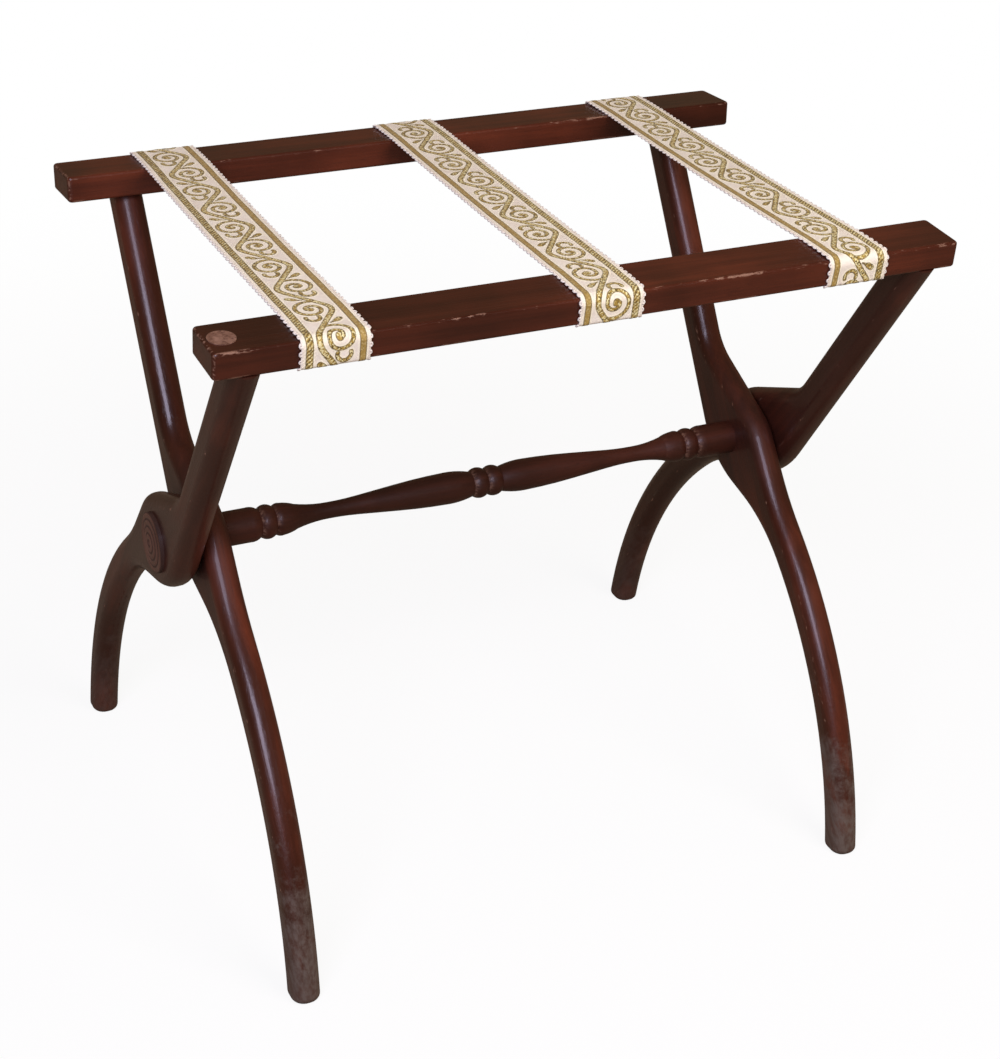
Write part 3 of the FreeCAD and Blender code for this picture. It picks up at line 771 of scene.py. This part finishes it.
@dataclass(frozen=True)
class ScrollPattern:
    """Running scroll: a waving stem with a coil, a hook and a leaf in each bay.

    Sizes are in millimetres and turns in degrees. A place on the pattern is (x, s): x across the
    ribbon and s along it. The bud and the leaf's corners are x, s and radius. The hook bends
    from one turn to another in even steps. Every bay is drawn once, for the right side, and
    stands mirrored on the left half a period on.
    """

    period: float = 74.8
    stem_swing: float = 11.1
    stem_lead: float = 17.2
    stem_squareness: float = 0.07
    stem_half_width: float = 2.2
    stem_bead_pitch: float = 2.1
    stem_bead_radius: float = 0.95
    stem_bead_reach: float = 1.6
    stem_overlap: float = 16.0
    stem_step: float = 0.7
    coil_middle: float = 2.3
    coil_radius: float = 11.6
    coil_step: float = 6.9
    coil_start: float = -42.0
    coil_end: float = 455.0
    coil_mark_step: float = 3.0
    coil_swell_turn: float = 1.4
    line_half_width: float = 1.6
    bud: Triple = (2.9, 0.3, 2.9)
    hook_middle: Pair = (5.6, 12.6)
    hook_reach: Pair = (4.7, 4.6)
    hook_bend: Triple = (-18.0, 200.0, 6.0)
    leaf: tuple[Triple, ...] = (
        (2.6, -15.2, 0.6), (5.4, -16.4, 1.0), (8.0, -17.8, 2.3), (10.6, -19.8, 2.2),
    )
    leaf_marks: int = 24
    plain_middle: float = 18.4
    plain_half_width: float = 2.4
    rope_middle: float = 18.0
    rope_half_width: float = 2.7

    def bay_marks(self) -> np.ndarray:
        """Discs whose union is one bay's coil, bud, hook and leaf.

        Returns:
            Rows of x, s and radius.
        """
        turn = np.radians(np.arange(self.coil_start, self.coil_end, self.coil_mark_step))
        radius = self.coil_radius - self.coil_step * turn / (2 * math.pi)
        grown = np.clip((turn - turn[0]) / self.coil_swell_turn + 0.5, 0.5, 1.0)
        coil = (
            self.coil_middle + radius * np.sin(turn),
            -radius * np.cos(turn),
            self.line_half_width * grown,
        )
        bend = np.radians(np.arange(*self.hook_bend))
        hook = (
            self.hook_middle[0] + self.hook_reach[0] * np.cos(bend),
            self.hook_middle[1] + self.hook_reach[1] * np.sin(bend),
            np.full(bend.shape, self.line_half_width),
        )
        corners = np.array(self.leaf)
        steps = np.linspace(0, len(corners) - 1, self.leaf_marks)
        leaf = [np.interp(steps, range(len(corners)), corners[:, k]) for k in range(3)]
        lines = [np.stack(line, 1) for line in (coil, hook, leaf)]
        return np.concatenate([*lines, [self.bud]])

    def stem_marks(self) -> np.ndarray:
        """Discs along the stem, over one period and a little more.

        Returns:
            Rows of x, s and radius.
        """
        s = np.arange(-self.stem_overlap, self.period + self.stem_overlap, self.stem_step)
        angle = 2 * math.pi * (s + self.stem_lead) / self.period
        square = self.stem_squareness
        wave = (np.sin(angle) - square * np.sin(3 * angle)) / (1 + square)
        return np.stack([-self.stem_swing * wave, s, np.full(s.shape, self.stem_half_width)], 1)

    @staticmethod
    def nearest(x: np.ndarray, s: np.ndarray, marks: np.ndarray) -> tuple[np.ndarray, np.ndarray]:
        """How far inside its nearest mark each place lies, and which mark that is.

        Args:
            x: Places across the ribbon.
            s: Places along it.
            marks: Rows of x, s and radius.

        Returns:
            Depth inside the marks, negative outside, and the marks' numbers.
        """
        best = np.full(x.shape, FAR_FROM_GOLD)
        which = np.zeros(x.shape, int)
        for number, (middle_x, middle_s, radius) in enumerate(marks):
            depth = radius - np.hypot(x - middle_x, s - middle_s)
            closer = depth > best
            best[closer] = depth[closer]
            which[closer] = number
        return best, which

    def draw(self, x: np.ndarray, s: np.ndarray) -> dict[str, np.ndarray]:
        """Draws the gold at each place of the ribbon.

        Args:
            x: Places across the ribbon.
            s: Places along it, from a right-hand coil's middle.

        Returns:
            The depth inside the gold, negative outside, as gold_edge; 1 on the rope band and
            on the plain band; and the height of the stem's row of beads, from 0 to 1.
        """
        half = self.period / 2
        bay = self.bay_marks()
        stem = self.stem_marks()
        right, _ = self.nearest(x, (s + half) % self.period - half, bay)
        left, _ = self.nearest(-x, s % self.period - half, bay)
        on_stem, number = self.nearest(x, s % self.period, stem)
        gold = np.maximum(np.maximum(right, left), on_stem)

        walked = np.concatenate([[0], np.cumsum(np.hypot(*np.diff(stem[:, :2], axis=0).T))])
        beat = 0.5 + 0.5 * np.cos(2 * math.pi * walked[number] / self.stem_bead_pitch)
        off_middle = self.stem_half_width - on_stem
        bead = beat * np.clip(self.stem_bead_reach - off_middle / self.stem_bead_radius, 0, 1)

        rope = np.where(x < 0, 1.0, 0.0)
        band = np.maximum(
            self.rope_half_width - np.abs(x + self.rope_middle),
            self.plain_half_width - np.abs(x - self.plain_middle),
        )
        on_band = band > gold
        return {
            "gold_edge": np.maximum(gold, band),
            "rope": rope * on_band,
            "plain": (1 - rope) * on_band,
            "bead": bead * ~on_band,
        }


@dataclass
class WovenStrap:
    """One strap: ribbon tacked under both rails and stretched between them. Sizes are in
    millimetres, and map_start in metres."""

    name: str
    front_x: float
    rear_x: float
    bow: float
    way: ScrollWay
    coil_place: float
    cloth_half_width: float = 23.7
    lift: float = 0.35
    edge_bend: float = 6.0
    edge_stand_off: float = 1.35
    cloth_thickness: float = 0.9
    pattern_rise: float = 0.24
    pattern_slope_mm: float = 0.7
    rope_rise: float = 0.09
    sway: Pair = (0.10, 0.08)
    sway_length: Triple = (17.0, 9.0, 7.3)
    map_start: Pair = (0.05, 1.0)
    bend_step: float = 5.0
    cell: float = 0.52
    picot_pitch: float = 5.8
    picot_ring: float = 0.95
    picot_thread: float = 0.64
    picot_stretch: float = 1.25
    picot_root: float = 0.45
    picot_level: float = 0.55
    picot_unevenness: float = 0.1
    picot_rhythm: float = 2.3
    pattern: ScrollPattern = field(default_factory=ScrollPattern)

    def rail_path(self) -> tuple[np.ndarray, np.ndarray]:
        """Side view of the strap's inner face, from under the front rail to mid-span.

        The ribbon hugs the rail's lower and inner edges, and bulges over its outer top edge,
        because it is too stiff for a bend that small.

        Returns:
            Points (y, z) and outward directions, in millimetres.
        """
        hug = RAIL_ROUNDING + self.lift
        outer, inner = -RAIL_WIDTH / 2, RAIL_WIDTH / 2
        bulge = self.edge_bend - self.edge_stand_off
        arcs = (
            ((outer + RAIL_ROUNDING, RAIL_ROUNDING - RAIL_THICKNESS), hug, -90, -180),
            ((outer + bulge, -bulge), self.edge_bend, 180, 90),
            ((inner - RAIL_ROUNDING, -RAIL_ROUNDING), hug, 90, 90 - RAIL_TILT),
        )
        corners = [(outer + STRAP_TURN_UNDER, -RAIL_THICKNESS - self.lift, -math.pi / 2)]
        for middle, radius, start, end in arcs:
            for a in np.radians(np.linspace(start, end, 2 + int(abs(end - start) / self.bend_step))):
                y, z = middle[0] + radius * math.cos(a), middle[1] + radius * math.sin(a)
                corners.append((y, z, a))
        tilt = math.radians(RAIL_TILT)
        points = [
            (
                y * math.cos(tilt) - z * math.sin(tilt) - RAIL_SPACING / 2,
                y * math.sin(tilt) + z * math.cos(tilt) + BENCH_HEIGHT,
                math.cos(angle + tilt),
                math.sin(angle + tilt),
            )
            for y, z, angle in corners
        ]
        points.append((0.0, points[-1][1], 0.0, 1.0))
        table = np.array(points)
        return table[:, :2], table[:, 2:]

    def stations(self, step: float) -> tuple[np.ndarray, np.ndarray, np.ndarray]:
        """Even stations along the whole strap, front to rear.

        Args:
            step: Wanted spacing in millimetres.

        Returns:
            Points (y, z), outward directions, and distances from mid-span towards the front.
        """
        whole = [
            np.concatenate([half, half[-2::-1] * np.array([-1.0, 1.0])])
            for half in self.rail_path()
        ]
        length = np.concatenate([[0], np.cumsum(np.hypot(*np.diff(whole[0], axis=0).T))])
        count = int(round(length[-1] / step))
        at = np.linspace(0, length[-1], count + 1)
        placed, facing = (
            np.stack([np.interp(at, length, table[:, k]) for k in (0, 1)], 1) for table in whole
        )
        facing /= np.linalg.norm(facing, axis=1)[:, None]
        return placed, facing, length[-1] / 2 - at

    def middle_x(self, y: np.ndarray) -> np.ndarray:
        """The strap's middle line, which bows sideways a little between the rails.

        Args:
            y: Places from front to rear, in millimetres.

        Returns:
            The middle's place along the rails at each of them.
        """
        share = np.clip(y / RAIL_SPACING + 0.5, 0, 1)
        straight = self.front_x + (self.rear_x - self.front_x) * share
        return straight + 4 * self.bow * share * (1 - share)

    def make_object(
        self, name: str, vertices: np.ndarray, faces: list, material: Material
    ) -> bpy.types.Object:
        """Makes a smooth mesh object of one material.

        Args:
            name: The object's name.
            vertices: Places in millimetres.
            faces: Corners of each face.
            material: Its finish.

        Returns:
            The new object.
        """
        mesh = bpy.data.meshes.new(name)
        mesh.from_pydata((vertices * MM).tolist(), [], faces)
        mesh.shade_smooth()
        mesh.materials.append(material)
        made = bpy.data.objects.new(name, mesh)
        bpy.context.scene.collection.objects.link(made)
        return made

    def cloth_height(
        self, marks: dict[str, np.ndarray], pattern_x: np.ndarray, pattern_s: np.ndarray
    ) -> np.ndarray:
        """Height of the woven face above the cloth's back.

        Args:
            marks: The pattern at each place.
            pattern_x: Places across the pattern.
            pattern_s: Places along it.

        Returns:
            The height at each place.
        """
        rise = self.pattern_rise * np.clip(marks["gold_edge"] / self.pattern_slope_mm + 0.5, 0, 1)
        twist = 2 * math.pi * (pattern_s + ROPE_SLOPE * pattern_x) / ROPE_PITCH
        rise -= self.rope_rise * marks["rope"] * np.sin(twist)
        rise += self.rope_rise * marks["bead"]
        return self.cloth_thickness + rise

    def build_cloth(self, material: Material) -> bpy.types.Object:
        """Makes the ribbon as one closed sheet with its pattern standing up.

        The face is a fine grid. The back is plain, so it spans from edge to edge.

        Args:
            material: The ribbon's finish.

        Returns:
            The cloth.
        """
        points, out, forward = self.stations(self.cell)
        columns = int(round(2 * self.cloth_half_width / self.cell)) + 1
        rows = len(points)
        x = np.linspace(-self.cloth_half_width, self.cloth_half_width, columns)
        grid_x, grid_s = np.meshgrid(x, forward)
        turn = self.way.value
        pattern_x = grid_x * turn
        pattern_s = (grid_s - self.coil_place) * turn
        if self.way is ScrollWay.ROPE_BAND_RIGHT:
            pattern_s = pattern_s + self.pattern.period / 2
        marks = self.pattern.draw(pattern_x, pattern_s)

        height = self.cloth_height(marks, pattern_x, pattern_s)
        along, across, short = self.sway_length
        sway = self.sway[0] * np.sin(grid_s / along + grid_x / across)
        sway += self.sway[1] * np.sin(grid_s / short)
        place_x = self.middle_x(points[:, 0])[:, None] + grid_x + sway
        face, back = (
            np.stack([place_x, *(points[:, k, None] + out[:, k, None] * up for k in (0, 1))], -1)
            for up in (height, np.zeros(height.shape))
        )
        vertices = np.concatenate([face.reshape(-1, 3), back[:, [0, -1]].reshape(-1, 3)])

        index = np.arange(rows * columns).reshape(rows, columns)
        under = rows * columns + np.arange(rows * 2).reshape(rows, 2)
        strips = (
            (index[:-1, :-1], index[:-1, 1:], index[1:, 1:], index[1:, :-1]),
            (under[:-1, 1], under[:-1, 0], under[1:, 0], under[1:, 1]),
            (under[:-1, 0], index[:-1, 0], index[1:, 0], under[1:, 0]),
            (index[:-1, -1], under[:-1, 1], under[1:, 1], index[1:, -1]),
        )
        faces = []
        for strip in strips:
            faces += np.stack(strip, -1).reshape(-1, 4).tolist()
        faces.append([*index[0, ::-1].tolist(), int(under[0, 0]), int(under[0, 1])])
        faces.append([*index[-1].tolist(), int(under[-1, 1]), int(under[-1, 0])])

        cloth = self.make_object(self.name + "_ribbon", vertices, faces, material)
        start_x, start_s = self.map_start
        flat = np.stack([pattern_x * MM + start_x, pattern_s * MM + start_s], -1)
        self.store_marks(cloth.data, flat, marks)
        return cloth

    @staticmethod
    def store_marks(mesh: bpy.types.Mesh, flat: np.ndarray, marks: dict[str, np.ndarray]) -> None:
        """Stores the ribbon's map and the pattern's marks on its mesh, for its finish to read.

        Args:
            mesh: The cloth, its face's grid first and then the two edges of its back.
            flat: Place on the ribbon at each place of the grid, in metres.
            marks: The pattern there.
        """
        both = np.concatenate([flat.reshape(-1, 2), flat[:, [0, -1]].reshape(-1, 2)])
        corner = np.zeros(len(mesh.loops), np.int32)
        mesh.loops.foreach_get("vertex_index", corner)
        layer = mesh.uv_layers.new(name="weave")
        layer.data.foreach_set("uv", both[corner].astype(np.float32).ravel())
        for name, values in marks.items():
            attribute = mesh.attributes.new(name, "FLOAT", "POINT")
            all_values = np.concatenate([values.ravel(), values[:, [0, -1]].ravel()])
            attribute.data.foreach_set("value", all_values.astype(np.float32))

    def model_picot(self) -> tuple[np.ndarray, list]:
        """Models one picot: a half ring of thread that stands out towards +X.

        Returns:
            Its corners in millimetres, and its faces.
        """
        bpy.ops.object.select_all(action="DESELECT")
        bpy.ops.mesh.primitive_torus_add(
            major_segments=14,
            minor_segments=6,
            major_radius=self.picot_ring,
            minor_radius=self.picot_thread,
        )
        ring = bpy.context.object
        bpy.ops.object.mode_set(mode="EDIT")
        bpy.ops.mesh.select_all(action="SELECT")
        root = (-self.picot_root * self.picot_ring, 0, 0)
        bpy.ops.mesh.bisect(plane_co=root, plane_no=(1, 0, 0), use_fill=True, clear_inner=True)
        bpy.ops.mesh.select_all(action="SELECT")
        bpy.ops.transform.resize(value=(1, self.picot_stretch, 1), center_override=(0, 0, 0))
        bpy.ops.mesh.normals_make_consistent(inside=False)
        bpy.ops.object.mode_set(mode="OBJECT")
        shape = ring.data
        corners = np.array([vertex.co for vertex in shape.vertices])
        faces = [list(face.vertices) for face in shape.polygons]
        bpy.data.objects.remove(ring)
        bpy.data.meshes.remove(shape)
        return corners, faces

    def build_picots(self, material: Material) -> bpy.types.Object:
        """Sets a copy of the picot at each stitch of both edges.

        Args:
            material: The thread's finish.

        Returns:
            The picot edge.
        """
        corners, picot_faces = self.model_picot()
        points, out, _ = self.stations(self.picot_pitch)
        ahead = np.gradient(points, axis=0)
        ahead /= np.linalg.norm(ahead, axis=1)[:, None]
        stand = self.cloth_thickness * self.picot_level + corners[:, 2]
        vertices, faces = [], []
        for row in range(1, len(points) - 1):
            for side in (-1, 1):
                start = len(vertices) * len(corners)
                size = 1 + self.picot_unevenness * math.sin(row * self.picot_rhythm + side)
                run = corners[:, 1] * size
                x = self.cloth_half_width + corners[:, 0] * size
                place = [self.middle_x(points[row, 0]) + side * x]
                place += [points[row, k] + ahead[row, k] * run + out[row, k] * stand for k in (0, 1)]
                vertices.append(np.stack(place, -1))
                for face in picot_faces:
                    turned = face if side < 0 else face[::-1]
                    faces.append([start + corner for corner in turned])
        return self.make_object(self.name + "_picots", np.concatenate(vertices), faces, material)

    def build(self, ribbon: Material, thread: Material) -> None:
        """Builds the strap and hides the imported plain strap in its place.

        Args:
            ribbon: The cloth's finish.
            thread: The picot edge's finish.
        """
        cloth = self.build_cloth(ribbon)
        picots = self.build_picots(thread)
        for piece in (cloth, picots):
            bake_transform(piece)
        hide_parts(self.name)
        _, _, forward = self.stations(self.cell)
        LOG.info("built %s with %d faces", self.name, len(cloth.data.polygons))


# Bench ---------------------------------------------------------------------------------------


@dataclass
class BenchFrame:
    """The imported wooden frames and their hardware, dressed in their finishes."""

    front_knocks: tuple[Knock, ...] = (
        Knock(-268.0, 30.0, 0.85),
        Knock(-118.0, 26.0, 0.45),
        Knock(98.0, 34.0, 0.9),
        Knock(272.0, 16.0, 0.6),
    )
    rear_knocks: tuple[Knock, ...] = (
        Knock(-276.0, 16.0, 0.6),
        Knock(150.0, 40.0, 0.5),
        Knock(276.0, 14.0, 0.5),
    )

    def rail_finish(self, name: str, side: float, knocks: tuple[Knock, ...]) -> Material:
        """Finish of one rail.

        Args:
            name: The rail's node.
            side: -1 for the front rail and 1 for the rear one.
            knocks: Where its edges were knocked.

        Returns:
            The rail's wood.
        """
        tilt = math.radians(RAIL_TILT)
        half = RAIL_THICKNESS / 2
        middle = (
            0.0,
            side * (RAIL_SPACING / 2 - half * math.sin(tilt)) * MM,
            (BENCH_HEIGHT - half * math.cos(tilt)) * MM,
        )
        return MahoganyStainedWood(
            name="stained_beech_" + name,
            grain=GrainRun.RAIL,
            wear_and_light=WearAndLightPlace.BOARD_EDGES,
            board_middle=middle,
            board_tilt=-side * RAIL_TILT,
            knocks=knocks,
        ).build()

    def finishes(self) -> dict[str, Material]:
        """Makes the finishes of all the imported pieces.

        Returns:
            Each piece's finish, by its node's name.
        """
        outer_legs = MahoganyStainedWood(
            "stained_beech_outer_legs",
            GrainRun.OUTER_LEG,
            WearAndLightPlace.LEG_EDGES,
            middle="#3F2018",
            light="#5A2D20",
            foot_scuff=0.3,
        ).build()
        inner_legs = MahoganyStainedWood(
            "stained_beech_inner_legs",
            GrainRun.INNER_LEG,
            WearAndLightPlace.LEG_EDGES,
            middle="#461E12",
            light="#6A301E",
            # Painted shade where the legs cross
            crossing_shade=0.55,
        ).build()
        turned = MahoganyStainedWood(
            "stained_beech_turned",
            GrainRun.RAIL,
            # Painted highlight on the beads' left-facing slopes
            WearAndLightPlace.BEAD_SLOPES_LIT,
            dark="#26100A",
            middle="#38190F",
            light="#4C2317",
            roughness=0.46,
            coat=0.15,
        ).build()
        caps = MahoganyStainedWood(
            "stained_beech_caps",
            GrainRun.CAP,
            # Painted shade in the hollows between the rings
            WearAndLightPlace.CAP_RINGS,
            dark="#523529",
            middle="#6B4B3E",
            light="#825E50",
            roughness=0.50,
            coat=0.12,
        ).build()
        steel = Metal("zinc_plated_steel", "#B9BCBC", "#8E9190").build()
        brass = Metal("turned_brass", "#C9A35A", "#8F6F38").build()
        card = AgedPaper().build()
        chosen = {
            "front_rail": self.rail_finish("front_rail", -1.0, self.front_knocks),
            "rear_rail": self.rail_finish("rear_rail", 1.0, self.rear_knocks),
            "stretcher": turned,
            "round_label": card,
            "front_strap_tacks": steel,
            "rear_strap_tacks": steel,
        }
        in_pairs = {
            "outer_leg": outer_legs,
            "inner_leg": inner_legs,
            "pivot_cap": caps,
            "pivot_bolt": steel,
            "head_washer": steel,
            "leg_washer": brass,
            "threaded_insert": brass,
        }
        for side in ("_left", "_right"):
            for name, material in in_pairs.items():
                chosen[name + side] = material
        return chosen

    def dress(self) -> None:
        """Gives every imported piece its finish."""
        for name, material in self.finishes().items():
            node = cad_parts[name]
            node.data.materials.clear()
            node.data.materials.append(material)
            LOG.info("dressed %s in %s", name, material.name)


# Stage ---------------------------------------------------------------------------------------


@dataclass(frozen=True)
class SoftBox:
    """One square studio lamp, aimed at a point of the bench. Sizes are in metres and power in
    watts. A lamp that isn't mirrored lights the bench but leaves no highlight in its lacquer."""

    name: str
    place: Place
    aim: Place
    size: float
    power: float
    colour: str
    mirrored: bool = False

    def build(self) -> None:
        """Hangs the lamp, out of the camera's sight."""
        lamp = bpy.data.lights.new(self.name, "AREA")
        lamp.shape = "SQUARE"
        lamp.size = self.size
        lamp.energy = self.power
        lamp.color = linear(self.colour)[:3]
        holder = bpy.data.objects.new(self.name, lamp)
        holder.location = self.place
        look = Vector(self.aim) - Vector(self.place)
        holder.rotation_euler = look.to_track_quat("-Z", "Y").to_euler()
        holder.visible_camera = False
        holder.visible_glossy = self.mirrored
        bpy.context.scene.collection.objects.link(holder)


@dataclass
class Studio:
    """Pale floor, white surround, lamps and camera. Places are in metres."""

    floor_size: float = 16.0
    floor_fade: Pair = (0.45, 1.5)
    floor_glow: float = 0.89
    paper_tooth_mm: float = 2.5
    paper_tones: tuple[str, str] = ("#908371", "#8A7D6B")
    seen_paper_tones: tuple[str, str] = ("#F2F2F2", "#EEEEEE")
    surround_strength: Pair = (0.27, 0.12)
    surround_tones: tuple[str, str] = ("#FFF4E6", "#FFDDB0")
    focal_px: float = 2207.1
    image_height_px: float = 1059.0
    sensor_mm: float = 36.0
    camera_place: Place = (-0.67538, -1.37072, 1.08102)
    azimuth: float = -0.466843
    elevation: float = 0.506525
    roll: float = 0.047452
    lamps: tuple[SoftBox, ...] = (
        SoftBox(
            "key",
            place=(-1.25, -1.55, 1.55),
            aim=(0.0, 0.0, 0.3),
            size=1.1,
            power=30.0,
            colour="#E6E1FF",
            mirrored=True,
        ),
        SoftBox(
            "top",
            place=(0.4, -1.15, 1.3),
            aim=(0.0, 0.0, 0.4),
            size=0.9,
            power=12.5,
            colour="#FFF6EC",
        ),
        SoftBox(
            "side",
            place=(2.1, -0.9, 1.0),
            aim=(0.0, 0.0, 0.3),
            size=0.8,
            power=3.0,
            colour="#FFE0C2",
        ),
        SoftBox(
            "rear",
            place=(-0.2, 1.7, 1.3),
            aim=(0.0, 0.1, 0.5),
            size=0.8,
            power=3.5,
            colour="#FFB468",
        ),
    )

    def build_floor(self) -> None:
        """Lays the floor: matt paper that the camera sees near to pure white, fading into the
        white surround, while it keeps the bench's soft shadow."""
        bpy.ops.object.select_all(action="DESELECT")
        bpy.ops.mesh.primitive_plane_add(size=self.floor_size, location=(0, 0, 0))
        floor = bpy.context.object
        floor.name = "floor"
        material, tree = new_material("studio_paper")
        point = add_node(tree, "TexCoord", out="Object")
        scale = 1 / (self.paper_tooth_mm * MM)
        tooth = add_node(tree, "TexNoise", {"Vector": point, "Scale": scale, "Detail": 3.0})
        seen = add_node(tree, "LightPath", out="Is Camera Ray")
        lit, shown = (
            add_node(tree, "Mix", {0: tooth, 6: pale, 7: dark}, **COLOURS)
            for pale, dark in (self.paper_tones, self.seen_paper_tones)
        )
        colour = add_node(tree, "Mix", {0: seen, 6: lit, 7: shown}, **COLOURS)
        paper = add_node(tree, "BsdfDiffuse", {"Color": colour, "Roughness": 1.0})
        glow = add_node(tree, "Emission", {"Color": "#FFFFFF", "Strength": 1.0})
        away = add_node(tree, "VectorMath", (point,), operation="LENGTH")
        levels = (away, *self.floor_fade, self.floor_glow, 1.0)
        fade = add_node(tree, "MapRange", levels, **SMOOTH)
        share = add_node(tree, "Math", (fade, seen), operation="MULTIPLY")
        mixed = add_node(tree, "MixShader", (share, paper, glow))
        add_node(tree, "OutputMaterial", {"Surface": mixed})
        floor.data.materials.append(material)

    def build_world(self) -> None:
        """Surrounds the bench with dim warm light, dimmer still in mirror images, that the
        camera sees as white."""
        world = bpy.data.worlds.new("studio_surround")
        bpy.context.scene.world = world
        world.use_nodes = True
        tree = world.node_tree
        tree.nodes.clear()
        camera, glossy, through = (
            add_node(tree, "LightPath", out=f"Is {kind} Ray")
            for kind in ("Camera", "Glossy", "Transmission")
        )
        level = add_node(tree, "MapRange", (glossy, 0.0, 1.0, *self.surround_strength))
        open_tone, mirror_tone = self.surround_tones
        tint = add_node(tree, "Mix", {0: glossy, 6: open_tone, 7: mirror_tone}, **COLOURS)
        dim = add_node(tree, "Background", {"Color": tint, "Strength": level})
        white = add_node(tree, "Background", {"Color": "#FFFFFF", "Strength": 1.0})
        seen = add_node(tree, "Math", (camera, through), operation="MAXIMUM")
        mixed = add_node(tree, "MixShader", (seen, dim, white))
        add_node(tree, "OutputWorld", {"Surface": mixed})

    def build_camera(self) -> None:
        """Sets the camera at the bench's three-quarter view from the front left."""
        a, e, r = self.azimuth, self.elevation, self.roll
        ahead = Vector((-math.sin(a) * math.cos(e), math.cos(a) * math.cos(e), -math.sin(e)))
        right = ahead.cross(Vector((0, 0, 1))).normalized()
        up = right.cross(ahead)
        level_right = right * math.cos(r) + up * math.sin(r)
        level_up = up * math.cos(r) - right * math.sin(r)
        lens = bpy.data.cameras.new("camera")
        lens.sensor_width = self.sensor_mm
        lens.lens = self.focal_px / self.image_height_px * self.sensor_mm
        lens.clip_end = 60.0
        holder = bpy.data.objects.new("camera", lens)
        turn = Matrix((level_right, level_up, -ahead)).transposed()
        holder.matrix_world = Matrix.Translation(self.camera_place) @ turn.to_4x4()
        bpy.context.scene.collection.objects.link(holder)
        bpy.context.scene.camera = holder

    def build(self) -> None:
        """Builds the whole stage."""
        self.build_floor()
        self.build_world()
        self.build_camera()
        for lamp in self.lamps:
            lamp.build()
        bpy.context.scene.view_settings.view_transform = "Standard"
        LOG.info("built the stage with %d lamps", len(self.lamps))


def main() -> None:
    """Builds the bench's looks in order."""
    logging.basicConfig(level=logging.INFO, format="%(name)s: %(message)s")
    Studio().build()
    BenchFrame().dress()
    ribbon = JacquardRibbon().build()
    thread = CottonThread().build()
    left, right = ScrollWay.ROPE_BAND_LEFT, ScrollWay.ROPE_BAND_RIGHT
    outer = OUTER_STRAP_X
    straps = (
        WovenStrap(
            "strap_left",
            front_x=-outer - 5.1,
            rear_x=-outer - 2.3,
            bow=-1.2,
            way=left,
            coil_place=31.9,
            pattern=ScrollPattern(period=75.5),
        ),
        WovenStrap(
            "strap_middle", front_x=-1.4, rear_x=2.0, bow=-1.4, way=right, coil_place=39.2
        ),
        WovenStrap(
            "strap_right",
            front_x=outer + 0.3,
            rear_x=outer - 2.5,
            bow=-3.2,
            way=right,
            coil_place=22.2,
        ),
    )
    for strap in straps:
        strap.build(ribbon, thread)


if __name__ == "__main__":
    main()
